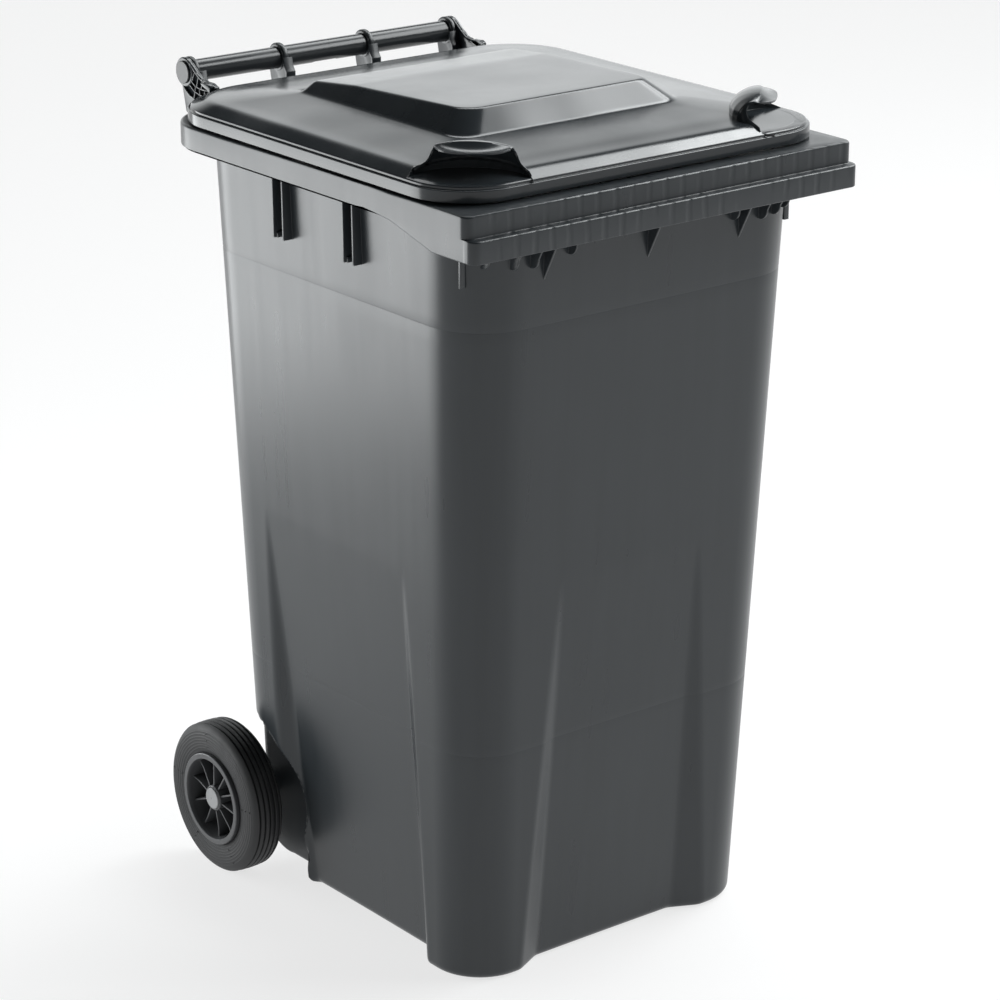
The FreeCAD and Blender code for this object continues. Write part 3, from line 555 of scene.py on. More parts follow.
def bent_to_base(x, y, level, grow):
    """Bends a row near the ground to the underside, and widens it where that lifts it."""
    base_y = wall_outline(0.0, grow)[1]
    bottom = base_height(base_y, grow)
    z = bottom + (LEVEL_TURN - bottom) * level / LEVEL_TURN
    shift = z / RIM_TOP - level / RIM_TOP
    x = x + np.where(x > 150.0, SPREAD_HALF * shift, 0.0)
    y = y + np.where(y > 140.0, SPREAD_REAR * shift, 0.0)
    return x, y, z


def recessed(x, y, z, level, grow):
    """Sinks the recesses of the front and the side, which run out at the top of their folds."""
    (fold_in, fold_out), (y1, y2, y3, y4) = wall_folds(level, grow)
    front_margins, side_margins = (with_margins(folds)[1] for folds in wall_folds(level, grow))
    deep = np.clip(1.0 - z / FOLD_TOP, 0.0, 1.0)
    number = np.arange(len(x))
    front_dip = FRONT_DIP * deep * (1.0 - soft_ramp(x, fold_in, fold_out, front_margins[0]))
    y = y + np.where(number <= FRONT_END, front_dip, 0.0)
    side_dip = SIDE_DIP * deep * (soft_ramp(y, y1, y2, side_margins[0])
                                  - soft_ramp(y, y3, y4, side_margins[2]))
    return x - np.where((number >= SIDE_START) & (number <= SIDE_END), side_dip, 0.0), y


def wheel_hollow(x, y, z, grow):
    """Sets the wall back round the wheel, down to a flat face behind it."""
    below = ARCH_BELOW * smooth_step(AXLE[2] - z, 30.0, 80.0)
    behind = ARCH_BEHIND * smooth_step(y - AXLE[1], -10.0, 25.0) * smooth_step(z - AXLE[2], 0.0, 40.0)
    radius = ARCH_RADIUS + grow + below - behind
    away = np.hypot(y - AXLE[1], z - AXLE[2])
    arch_x = ARCH_FACE - grow + np.maximum(away - radius, 0.0) ** 1.25 * 1.1
    return np.where(y > ARCH_FRONT, soft_min(x, arch_x, 7.0), x)


def axle_channel(y, z, grow):
    """Sinks a round channel for the axle into the back."""
    radius = CHANNEL_RADIUS + grow
    rise = np.abs(z - AXLE[2])
    channel_y = AXLE[1] + 4.0 - np.sqrt(np.maximum(radius ** 2 - rise ** 2, 0.0))
    return np.where((rise < radius) & (y > channel_y), channel_y, y)


def mould_lines(x, y, level):
    """Draws the row in where a hair-thin mould line runs round the walls."""
    half, front, rear, _ = wall_sizes(level)
    middle = (front + rear) / 2.0
    line = LINE_DEPTH * sum(math.exp(-((level - mark) / LINE_WIDTH) ** 2) for mark in LINE_LEVELS)
    return x * (1.0 - line / half), middle + (y - middle) * (1.0 - line / (rear - middle))


def wall_ring(level, grow):
    """Half a row of the container's wall, grow inside its outer face, at a height level."""
    x, y = wall_outline(level, grow)
    z = np.full_like(x, level)
    if level < LEVEL_TURN:
        x, y, z = bent_to_base(x, y, level, grow)
    x, y = recessed(x, y, z, level, grow)
    x = wheel_hollow(x, y, z, grow)
    y = axle_channel(y, z, grow)
    if grow == 0.0:
        x, y = mould_lines(x, y, level)
    return x, y, z


def edge_rounded(x, y, z, height, radius):
    """Pulls the lowest rows inwards so that the bottom edge is round."""
    over = np.clip(radius - height, 0.0, radius)
    pull = radius - np.sqrt(np.maximum(radius ** 2 - over ** 2, 0.0))
    middle = -23.0
    length = np.hypot(x, y - middle)
    return x - x / length * pull, y - (y - middle) / length * pull, z


def rim_ring(inset, tier, z=None):
    """One ring of the rim: tier 0 is the lower, outer lip and tier 1 the upper one.

    Without a height the ring follows the skirt's lower edge.
    """
    front = LIP_FRONT + LIP_STEP * tier
    x, y = half_outline(CONTAINER_COUNTS, RIM_HALF - inset, front + inset, RIM_REAR - inset,
                        RIM_FRONT_RADIUS - inset, RIM_REAR_RADIUS - inset, RIM_FRONT_MARKS, RIM_SIDE_MARKS)
    height = np.interp(y, SKIRT_Y, SKIRT_Z) if z is None else np.full_like(x, z)
    return whole_ring(x, y, height)


def shrunk_rings(ring, count, height_of):
    """Rings that shrink nearly to the middle of a ring, on a height field."""
    last = 0.02
    middle = ring.mean(axis=0)
    rings = []
    for step in range(1, count + 1):
        keep = 1.0 - (1.0 - last) * step / count
        points = middle + (ring - middle) * keep
        points[:, 2] = height_of(points[:, 0], points[:, 1])
        rings.append(points)
    return rings


def rows(low, high, step):
    """Evenly spaced heights."""
    return list(np.arange(low, high, step))


def outer_levels():
    """Heights of the outer rows: close at the bottom edge, the mould lines and below the rim."""
    low_line, high_line = ([mark + d for d in (-1.5, -0.6, 0.0, 0.6, 1.5)] for mark in LINE_LEVELS)
    return ([0.0, 1.0, 2.2, 3.6, 5.2, 7.0, 9.0, EDGE_TOP] + rows(16.0, LEVEL_TURN, 4.5)
            + rows(252.0, 300.0, 8.0) + low_line + rows(312.0, 516.0, 7.0) + rows(522.0, 830.0, 14.0)
            + high_line + [850.0, 870.0, 890.0, 897.0, 899.0, 900.5, 902.0, 904.0, 915.0, 930.0, 950.0])


def outer_rings():
    """The outside of the walls, from the ground to below the rim."""
    rings = []
    for level in outer_levels():
        x, y, z = wall_ring(level, 0.0)
        if level < EDGE_TOP:
            radius = np.where(y < TOE_END, EDGE_RADIUS, FOOT_EDGE_RADIUS)
            radius = np.where(y > 157.0, HEEL_EDGE_RADIUS, radius)
            x, y, z = edge_rounded(x, y, z, level, radius)
        rings.append(whole_ring(x, y, z))
    return rings


def level_wall_ring(level, grow, z):
    """The wall's row of a height level, laid flat at the height z."""
    x, y, _ = wall_ring(level, grow)
    return whole_ring(x, y, np.full_like(x, z))


def rim_rings(start):
    """Up under the rim, round its skirt and stepped lip, over the top and down the inside."""
    under = 986.0
    step = LIP_STEP_Z + 1.0
    keys_and_radii = [
        (start, 0.0), (level_wall_ring(975.0, 0.0, under), 3.0), (rim_ring(RIM_WALL, 1, under), 2.0),
        (rim_ring(RIM_WALL, 1, 961.0), 0.0), (rim_ring(RIM_WALL, 0, 960.0), 0.0),
        (rim_ring(RIM_WALL, 0), 1.2), (rim_ring(0.0, 0), 1.6), (rim_ring(0.0, 0, step), 2.4),
        (rim_ring(0.0, 1, step + 0.2), 1.0), (rim_ring(0.0, 1, RIM_TOP), 3.0),
        (level_wall_ring(985.0, WALL, RIM_TOP), 3.0), (whole_ring(*wall_ring(960.0, WALL)), 0.0)]
    keys, radii = zip(*keys_and_radii)
    return rounded_rings(keys, radii)


def container_mesh():
    """The container's shell: underside, outside, rim, inside and inner floor."""
    outer = outer_rings()
    bottom = shrunk_rings(outer[0], 26, lambda x, y: base_height(y, 0.0))
    inner_levels = ([930.0] + rows(900.0, 512.0, -20.0) + rows(505.0, LEVEL_TURN, -12.0)
                    + rows(246.0, 0.0, -6.0) + [0.0])
    inner = [whole_ring(*wall_ring(level, WALL)) for level in inner_levels]
    floor = shrunk_rings(inner[-1], 20, lambda x, y: base_height(y, WALL))
    rim = rim_rings(outer[-1])
    return shell_from_rings("container", bottom[::-1] + outer + rim[1:] + inner + floor)


GUSSETS = (-151.0, 3.0, 143.0)
# X and lowest point of each round-ended rib
ROUND_RIBS = ((-228.0, 912.0), (-198.0, 909.0), (-171.0, 907.0), (-116.0, 914.0), (130.0, 914.0),
              (174.0, 908.0), (196.0, 910.0), (218.0, 913.0))


def round_rib_mesh(x, low):
    """A small rib with a round lower end, its root on the wall's rounded corner."""
    end_radius, corner_radius, corner_start = 13.0, 79.0, 179.0
    past_corner = max(abs(x) - corner_start, 0.0)
    root = -304.6 + corner_radius - math.sqrt(corner_radius ** 2 - past_corner ** 2)
    outline = [(LIP_FRONT + RIM_WALL + 5.0, 962.0), (root - 2.6, 962.0), (root, low)]
    outline += arc_points((root - 4.0, low + end_radius), end_radius, -90.0, -180.0, 8)
    return prism("round_rib", outline, "x", x - 1.2, x + 1.2, 0.35)


def lip_rib_meshes():
    """Gussets under the comb lip, the small round-ended ribs beside them, and a rib at each corner."""
    gusset = [(-343.5, 961.5), (-306.0, 961.5), (-306.0, 889.5)]
    meshes = [prism("gusset", gusset, "x", x - 1.5, x + 1.5, 0.5) for x in GUSSETS]
    meshes += [round_rib_mesh(x, low) for x, low in ROUND_RIBS]
    for x, width in ((-241.5, -7.6), (241.4, 7.6)):
        corner = [(x, 889.0), (x + width, 889.0), (x + width, 965.0), (x, 965.0)]
        meshes.append(prism("corner_rib", corner, "y", -278.0, -275.0, 0.4))
    return meshes


def side_rib_meshes():
    """Pairs of upright ribs under the rim's sides, each with a small toe at its foot."""
    rib = [(255.0, 881.0), (268.5, 881.0), (269.5, 884.0), (270.5, 975.0), (257.5, 975.0)]
    toe = [(255.0, 881.0), (266.0, 881.0), (266.0, 887.0), (255.0, 889.0)]
    meshes = []
    for y, inwards in ((59.5, -4.2), (39.5, 4.2), (-82.5, -4.2), (-101.5, 4.2)):
        meshes += both_sides(prism("side_rib", rib, "y", y - 1.3, y + 1.3, 0.4))
        meshes += both_sides(prism("rib_toe", toe, "y", *sorted((y, y + inwards)), 0.4))
    return meshes


def support_meshes():
    """Four brackets behind the rim that hold the handle tube in rings."""
    y, z = HINGE[1], HINGE[2]
    outline = arc_points((y, z), 18.5, 0.0, 195.0, 24)[:-1]
    outline += from_hinge([(-23.5, -15.0), (-24.0, -33.0), (-30.0, -36.5), (-56.5, -38.0)])
    outline += [(246.0, z - 40.0), (244.0, 912.0), (291.0, 941.0)]
    outline += from_hinge([(8.0, -52.0), (15.0, -23.0), (17.8, -8.0)])
    flange = from_hinge([(-17.9, 2.0), (-20.0, -9.0), (-24.0, -15.0), (-24.5, -34.0), (-27.5, -34.0),
                         (-27.5, -14.0), (-22.5, -7.0), (-20.5, 3.0)])
    # where each bracket, its wing and its collar begin and end along the tube
    brackets = (((64.0, 70.0), (60.0, 74.0), (62.6, 71.4)), ((197.5, 203.0), (189.5, 203.0), (196.1, 203.0)))
    bore, collar_radius = 14.0, 16.6
    meshes = []
    for plate, wing, (start, end) in brackets:
        meshes += both_sides(prism("support", outline, "x", *plate, 0.8))
        meshes += both_sides(prism("support_wing", flange, "x", *wing, 0.6))
        section = [(start, bore), (end, bore), (end, collar_radius), (start, collar_radius)]
        meshes += both_sides(shifted(turned("collar", section, 48), 0.0, y, z))
    return meshes


def lug_meshes():
    """Round lugs that hold the axle across the back of the base."""
    y, z = AXLE[1], AXLE[2]
    root = [(190.0, 13.0), (201.0, 25.0), (y, 29.0)]
    outline = [(root_y, z - rise) for root_y, rise in root]
    outline += arc_points((y, z), 27.0, -90.0, 90.0, 24)
    outline += [(root_y, z + rise) for root_y, rise in root[::-1]]
    meshes = []
    for x_from, x_to in ((190.0, 199.0), (57.5, 66.5)):
        meshes += both_sides(prism("lug", outline, "x", x_from, x_to, 0.8))
    return meshes


def make_container():
    """The container's moulding: the shell with its ribs, tube brackets and axle lugs."""
    shell = container_mesh()
    meshes = [shell] + lip_rib_meshes() + side_rib_meshes() + support_meshes() + lug_meshes()
    obj = new_object("container_moulding", join_meshes("container_moulding", meshes))
    tidy_mesh(obj.data)
    obj.data.materials.append(CONTAINER_PLASTIC)
    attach(obj, "bin")
    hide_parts("body")


# ---- lid

LID_HALF = LID_HIGH[0]
LID_FRONT = LID_LOW[1]
LID_REAR = 278.0
LID_BOTTOM = LID_LOW[2]
LID_FRONT_RADIUS, LID_REAR_RADIUS = 78.0, 95.0
LID_WALL = 3.5


def lid_ring(inset, z):
    """A level ring inside the lid's outline; the corners tighten a little slower than it shrinks."""
    keep, least = 0.6, 8.0
    radii = [max(radius - inset * keep, least) for radius in (LID_FRONT_RADIUS, LID_REAR_RADIUS)]
    x, y = half_outline(LID_COUNTS, LID_HALF - inset, LID_FRONT + inset, LID_REAR - inset, *radii)
    return whole_ring(x, y, np.full_like(x, z))


def plateau_top_z(y):
    """Height of the plateau, which falls towards the rear."""
    return np.interp(y, [-150.0, 61.5, 139.0], [1054.9, 1048.0, 1040.8])


def plateau_foot(grow, z):
    """A level ring grow outside the foot of the plateau's slopes."""
    x, y = half_outline(LID_COUNTS, 170.0 + grow, -175.5 - grow, 145.5 + grow, 30.0 + grow * 0.5,
                        12.0 + grow * 0.5)
    return whole_ring(x, y, np.full_like(x, z))


def plateau_top(off):
    """The plateau's edge, off inside its outer face."""
    x, y = half_outline(LID_COUNTS, 140.0 - off, -148.5 + off, 137.5 - off, 26.0, 5.0,
                        rear_half=152.0 - off)
    return whole_ring(x, y, plateau_top_z(y) - off)


# height and roundness of the level rings of the lid's skin, by how far they are inside its outline
LID_SKIN = ((0.0, 1007.2, 1.2), (3.4, 1007.6, 0.5), (3.4, 1010.4, 0.5), (10.0, 1013.8, 2.5),
            (21.5, 1019.6, 6.0), (40.0, 1020.8, 8.0), (60.0, 1022.8, 10.0))


def lid_keys(off):
    """Key rings and radii of the lid from its lower edge to the plateau, off inside its outer face."""
    keys = [lid_ring(off, LID_BOTTOM)] + [lid_ring(inset + off, z - off) for inset, z, _ in LID_SKIN]
    keys += [plateau_foot(16.0 - off, 1027.2 - off), plateau_foot(-off, 1029.0 - off), plateau_top(off)]
    return keys, [0.0] + [radius for _, _, radius in LID_SKIN] + [9.0, 5.0, 4.0]


def lid_shell_mesh():
    """The lid's outer skin and its inside, joined round the lower edge."""
    surfaces = []
    for off in (0.0, LID_WALL):
        keys, radii = lid_keys(off)
        middle = keys[-1].mean(axis=0)
        inner = middle + (keys[-1] - middle) * 0.9
        inner[:, 2] = plateau_top_z(inner[:, 1]) - off
        rings = rounded_rings(keys + [inner], radii + [0.0], steps=5)
        rings += shrunk_rings(inner, 10, lambda x, y, o=off: plateau_top_z(y) - o)
        surfaces.append(rings)
    outer, inside = surfaces
    return shell_from_rings("lid_shell", outer[::-1] + inside)


GRIP_X, GRIP_Y = 202.6, -244.9
GRIP_DIAGONAL = math.sqrt(0.5)
SCOOP_FLOOR = 1011.4
SCOOP_HALF = 70.5
BEAD_INSET = 4.6
VISOR_THICK = 2.2
# the scoop's back wall: distance across the corner, and how far out the wall stands there
SCOOP_ACROSS = [0.0, 15.0, 30.0, 42.0, 50.0, 56.0, 61.0, 65.0, 67.5, 69.5, 71.0, 71.5]
SCOOP_BACK = [-15.5, -14.3, -10.0, -3.5, 2.5, 8.5, 15.0, 21.0, 26.0, 34.0, 44.0, 54.0]
# the visor's free edge from its tip to the cusp: across, out and height
EDGE_ACROSS = [0.0, 12.0, 22.3, 30.0, 36.5, 41.5, 44.2, 44.9, 45.6, 47.9, 49.8, 51.2, 54.0, 59.9, 64.3, 66.9]
EDGE_OUT = [39.2, 38.8, 37.4, 34.6, 29.8, 23.0, 15.6, 10.2, 6.8, 5.0, 5.4, 7.0, 10.5, 17.2, 21.4, 23.0]
EDGE_Z = [1040.8, 1040.9, 1041.3, 1041.6, 1042.0, 1042.4, 1042.5, 1041.2, 1038.9, 1034.8, 1030.5,
          1026.9, 1023.2, 1020.2, 1018.0, 1014.0]


def grip_points(out, along, z):
    """Points near the +X front corner: out towards the corner, along across it."""
    out, along, z = np.broadcast_arrays(np.asarray(out, float), np.asarray(along, float),
                                        np.asarray(z, float))
    x = GRIP_X + GRIP_DIAGONAL * (out + along)
    y = GRIP_Y + GRIP_DIAGONAL * (along - out)
    return np.stack([x, y, z], axis=-1)


def grid_shell(name, top, under):
    """A closed mesh between two grids of points of the same shape."""
    rows, cols = top.shape[:2]
    points = np.concatenate([top.reshape(-1, 3), under.reshape(-1, 3)])
    faces = []
    shift = rows * cols

    def at(r, c, layer=0):
        return layer * shift + r * cols + c

    for r in range(rows - 1):
        for c in range(cols - 1):
            faces.append((at(r, c), at(r, c + 1), at(r + 1, c + 1), at(r + 1, c)))
            faces.append((at(r, c, 1), at(r + 1, c, 1), at(r + 1, c + 1, 1), at(r, c + 1, 1)))
    for r in range(rows - 1):
        faces.append((at(r, 0), at(r + 1, 0), at(r + 1, 0, 1), at(r, 0, 1)))
        faces.append((at(r, cols - 1), at(r, cols - 1, 1), at(r + 1, cols - 1, 1), at(r + 1, cols - 1)))
    for c in range(cols - 1):
        faces.append((at(0, c), at(0, c, 1), at(0, c + 1, 1), at(0, c + 1)))
        faces.append((at(rows - 1, c), at(rows - 1, c + 1), at(rows - 1, c + 1, 1), at(rows - 1, c, 1)))
    return new_mesh(name, points, faces)


def corner_inset(x, y):
    """How far a point near the +X front corner is inside the lid's outline."""
    dx = x - (LID_HALF - LID_FRONT_RADIUS)
    dy = LID_FRONT + LID_FRONT_RADIUS - y
    flat = np.minimum(LID_HALF - x, y - LID_FRONT)
    return np.where((dx > 0.0) & (dy > 0.0), LID_FRONT_RADIUS - np.hypot(dx, dy), flat)


def lid_height(points):
    """Height of the lid's skin at points near the corner."""
    inset = corner_inset(points[..., 0], points[..., 1])
    return np.interp(inset, [3.4, 10.0, 16.0, 21.5, 40.0, 60.0, 100.0],
                     [1010.4, 1013.8, 1016.6, 1018.8, 1020.8, 1022.8, 1026.8])


def smooth_line(knots, values, at):
    """Values between knots on a curve with smoothed bends."""
    fine = np.linspace(knots[0], knots[-1], 400)
    line = np.interp(fine, knots, values)
    width = 9
    padded = np.concatenate([2 * line[0] - line[width:0:-1], line, 2 * line[-1] - line[-2:-width - 2:-1]])
    weights = np.hanning(2 * width + 1)
    line = np.convolve(padded, weights / weights.sum(), "valid")
    return np.interp(at, fine, line)


def grid_normals(grid, inside):
    """Unit normals of a grid of points, all facing away from the inside point."""
    across = np.gradient(grid, axis=1)
    along = np.gradient(grid, axis=0)
    normal = np.cross(across, along)
    normal /= np.maximum(np.linalg.norm(normal, axis=-1, keepdims=True), 1e-9)
    facing = np.sum(normal * (grid - inside), axis=-1, keepdims=True)
    return np.where(facing < 0.0, -normal, normal)


def grip_roof_mesh():
    """The visor over a corner scoop: a dome from its foot to the crest, then a dished lip to the edge."""
    knots = np.linspace(0.0, 1.0, len(EDGE_ACROSS))
    half = np.linspace(0.0, 1.0, 56)
    edge = (smooth_line(knots, values, half) for values in (EDGE_ACROSS, EDGE_OUT, EDGE_Z))
    sign = np.concatenate([-np.ones(55), np.ones(56)])
    across, edge_out, edge_z = (np.concatenate([v[:0:-1], v]) for v in edge)
    along = across * sign
    foot_out = np.interp(across, SCOOP_ACROSS, SCOOP_BACK) - 2.8
    foot = grip_points(foot_out, along, 0.0)
    foot_z = lid_height(foot) - 1.0
    lens = np.clip(1.0 - (across / 45.4) ** 2, 0.0, 1.0)
    crest_out = np.where(lens > 0.0, np.minimum(edge_out - 0.5, 13.0 + 6.8 * lens), edge_out)
    crest_z = edge_z + lens ** 0.9 * 9.4
    edge_z = np.maximum(edge_z, lid_height(grip_points(edge_out, along, 0.0)) - 1.2)
    crest_z = np.maximum(crest_z, edge_z)
    rows = []
    for turn in np.radians(np.linspace(0.0, 90.0, 15)):
        rows.append(grip_points(foot_out + (crest_out - foot_out) * (1.0 - math.cos(turn)), along,
                                foot_z + (crest_z - foot_z) * math.sin(turn)))
    for v in np.linspace(0.0, 1.0, 10)[1:]:
        dish = 1.7 * math.sin(math.pi * v) * lens
        rows.append(grip_points(crest_out + (edge_out - crest_out) * v, along,
                                crest_z + (edge_z - crest_z) * v - dish))
    top = np.array(rows)
    inside = grip_points(22.0, 0.0, 1012.0)
    under = top - grid_normals(top, inside) * VISOR_THICK
    return grid_shell("grip_roof", top, under)


def scoop_wall_mesh():
    """The upright back of a corner scoop, between its floor and the visor's foot."""
    along = np.linspace(-SCOOP_HALF, SCOOP_HALF, 81)
    out = np.interp(np.abs(along), SCOOP_ACROSS, SCOOP_BACK)
    face, back = [], []
    for thick, store in ((0.0, face), (3.0, back)):
        skin = lid_height(grip_points(out - thick, along, 0.0)) - 1.4
        for share in np.linspace(0.0, 1.0, 4):
            z = SCOOP_FLOOR - 3.0 + (skin - SCOOP_FLOOR + 3.0) * share
            store.append(grip_points(out - thick, along, z))
    return grid_shell("scoop_wall", np.array(face), np.array(back))


def scoop_floor_mesh():
    """The level floor of a corner scoop, out to the bead round the lid's edge."""
    along = np.linspace(-SCOOP_HALF, SCOOP_HALF, 81)
    start = np.interp(np.abs(along), SCOOP_ACROSS, SCOOP_BACK) - 1.5
    edge = []
    for a, low in zip(along, start):
        near, far = low, 140.0
        for _ in range(30):
            middle = 0.5 * (near + far)
            point = grip_points(middle, a, 0.0)
            if corner_inset(point[0], point[1]) > BEAD_INSET:
                near = middle
            else:
                far = middle
        edge.append(near)
    edge = np.maximum(np.array(edge), start + 0.5)
    top, under = [], []
    for z, store in ((SCOOP_FLOOR, top), (SCOOP_FLOOR - 3.2, under)):
        for share in np.linspace(0.0, 1.0, 12):
            store.append(grip_points(start + (edge - start) * share, along, z))
    return grid_shell("scoop_floor", np.array(top), np.array(under))


def scoop_cutter():
    """Everything above a scoop's floor, from its back wall out past the lid's corner."""
    across, out = SCOOP_ACROSS + [80.0], SCOOP_BACK + [90.0]
    corner = [(o, a) for o, a in zip(out, across)]
    outline = []
    for o, a in corner[:0:-1] + [(o, -a) for o, a in corner]:
        point = grip_points(o, a, 0.0)
        outline.append((float(point[0]), float(point[1])))
    return prism("scoop_cutter", outline, "z", SCOOP_FLOOR, 1080.0, 0.0)


# the lid's hinge arm, from the hinge: its border, net-like ribs with their widths, and its tail
ARM_BORDER = [(-6.0, 17.4), (-15.0, 12.1), (-26.0, 3.8), (-37.0, -2.7), (-48.0, -4.5), (-60.0, -4.5),
              (-70.0, -8.0), (-70.0, -27.0), (-56.0, -28.0), (-47.0, -28.0), (-39.0, -30.3), (-24.0, -32.0),
              (-11.9, -29.0), (-1.0, -22.6), (3.4, -18.0)]
ARM_RIBS = [
    ([(y, z - 0.9) for y, z in ARM_BORDER[:7]], 1.8),
    ([(y, z + 0.9) for y, z in ARM_BORDER[7:]], 1.8),
    ([(-16.0, -9.0), (-26.0, -14.0), (-39.0, -15.5), (-52.0, -15.0), (-66.0, -17.0)], 1.5),
    ([(-12.0, -14.0), (-22.0, -20.5), (-36.0, -23.5), (-50.0, -22.5)], 1.4),
    ([(-24.0, 3.0), (-17.0, -9.5)], 1.4), ([(-32.0, -1.0), (-28.0, -14.5)], 1.4),
    ([(-43.0, -4.0), (-38.0, -15.0)], 1.4), ([(-54.0, -4.5), (-52.0, -15.0)], 1.4),
    ([(-26.0, -14.0), (-21.0, -30.5)], 1.4), ([(-34.0, -15.5), (-36.0, -30.0)], 1.4),
    ([(-46.0, -15.0), (-44.0, -28.5)], 1.4), ([(-56.0, -15.5), (-60.0, -27.5)], 1.4)]
ARM_TAIL = [(-44.0, -5.5), (-60.0, -4.5), (-66.0, -7.0), (-66.0, -14.0), (-50.0, -9.0)]
ARM_INNER, ARM_WEB, ARM_OUTER = 203.6, 206.4, 210.2


def strip_meshes(points, width):
    """Short raised bars of a width that follow a line on the arm's web."""
    meshes = []
    for (y1, z1), (y2, z2) in zip(points, points[1:]):
        length = math.hypot(y2 - y1, z2 - z1)
        ny, nz = -(z2 - z1) / length * width / 2, (y2 - y1) / length * width / 2
        ey, ez = (y2 - y1) / length * 0.4, (z2 - z1) / length * 0.4
        quad = [(y1 + ny - ey, z1 + nz - ez), (y2 + ny + ey, z2 + nz + ez),
                (y2 - ny + ey, z2 - nz + ez), (y1 - ny - ey, z1 - nz - ez)]
        meshes.append(prism("arm_rib", quad, "x", ARM_WEB - 0.5, ARM_OUTER, 0.35))
    return meshes


def arm_meshes():
    """The lid's hinge arms: a web with a raised border and net-like ribs, and a ring for the pin."""
    meshes = [prism("arm_plate", from_hinge(ARM_BORDER), "x", ARM_INNER, ARM_WEB, 0.5)]
    for points, width in ARM_RIBS:
        meshes += strip_meshes(from_hinge(points), width)
    ring = [(ARM_INNER, 10.7), (ARM_OUTER, 10.7), (ARM_OUTER, 17.3), (ARM_OUTER - 1.2, 18.5),
            (ARM_INNER + 0.8, 18.5), (ARM_INNER, 17.7)]
    meshes.append(shifted(turned("arm_ring", ring, 72), 0.0, HINGE[1], HINGE[2]))
    meshes.append(prism("arm_tail", from_hinge(ARM_TAIL), "x", ARM_INNER, 216.0, 1.2))
    return [copy for mesh in meshes for copy in both_sides(mesh)]


def make_lid():
    """The lid's moulding, with its scoops and the notches for the inner brackets cut out."""
    obj = new_object("lid_moulding", lid_shell_mesh())
    tidy_mesh(obj.data)
    scoop = scoop_cutter()
    notch = prism("notch", [(57.0, LID_REAR - 5.5), (77.0, LID_REAR - 5.5), (77.0, LID_REAR + 30.0),
                            (57.0, LID_REAR + 30.0)], "z", LID_BOTTOM - 20.0, 1060.0, 0.0)
    cut_with(obj, both_sides(scoop) + both_sides(notch))
    extras = []
    for make in (grip_roof_mesh, scoop_wall_mesh, scoop_floor_mesh):
        extras += both_sides(make())
    obj.data = join_meshes("lid_moulding", [obj.data.copy()] + extras + arm_meshes())
    tidy_mesh(obj.data)
    obj.data.materials.clear()
    obj.data.materials.append(LID_PLASTIC)
    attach(obj, "lid")
    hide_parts("lid")


# ---- wheels

WHEEL_X = (TYRE_LOW[0] + TYRE_HIGH[0]) / 2.0
TYRE_HALF = (TYRE_HIGH[0] - TYRE_LOW[0]) / 2.0
WHEEL_RADIUS = 100.0
SEAT, FLANGE = 57.0, 61.0
SPOKE_COUNT = 10
GROOVE_PITCH, GROOVE_DEPTH, GROOVE_HALF = 7.4, 3.4, 1.35
SIDE_STEPS = 40
WHEEL_TURN = math.radians(-13.0)


def tread_points():
    """The crown from +X to -X: five grooves with soft lips between rounded bands."""
    crown = []
    for index in (2, 1, 0, -1, -2):
        centre = GROOVE_PITCH * index
        height = WHEEL_RADIUS - 0.24 * index * index
        half_groove = [(GROOVE_HALF + 0.5, height - 0.05), (GROOVE_HALF, height - 0.35),
                       (GROOVE_HALF * 0.45, height - GROOVE_DEPTH)]
        crown += [(centre + x, r) for x, r in half_groove]
        crown += [(centre - x, r) for x, r in half_groove[::-1]]
    return crown


def tyre_mesh():
    """A solid tyre: rounded section, grooved tread and fine raised rings on its sidewalls."""
    half = TYRE_HALF
    side_start = FLANGE + 1.0
    side = []
    for step in range(SIDE_STEPS + 1):
        s = step / SIDE_STEPS
        bulge = half - 3.4 * (1.0 - s) ** 2 - 2.2 * s ** 4
        ripple = 0.4 if step % 5 == 2 and step > 4 else 0.0
        side.append((bulge + ripple, side_start + (WHEEL_RADIUS - 8.0 - side_start) * s))
    side += [(half - 4.2, WHEEL_RADIUS - 4.6), (half - 6.4, WHEEL_RADIUS - 2.4)]
    seat = [(-half + 5.0, SEAT), (half - 5.0, SEAT), (half - 4.4, FLANGE - 0.4)]
    profile = seat + side + tread_points() + [(-x, r) for x, r in side[::-1]]
    profile.append((-half + 4.4, FLANGE - 0.4))
    meshes = [turned("tyre", [(WHEEL_X + x, r) for x, r in profile], 192)]
    for angle in (0.35, 1.9, 3.2, 4.4, 5.5):
        for radius in (70.0, 79.0, 88.0):
            nub = turned("nub", [(0.0, 0.01), (0.0, 0.9), (0.9, 0.6), (1.1, 0.01)], 10)
            place = (WHEEL_X + half - 0.7, radius * math.cos(angle), radius * math.sin(angle))
            meshes.append(shifted(nub, *place))
    return join_meshes("tyre", meshes)


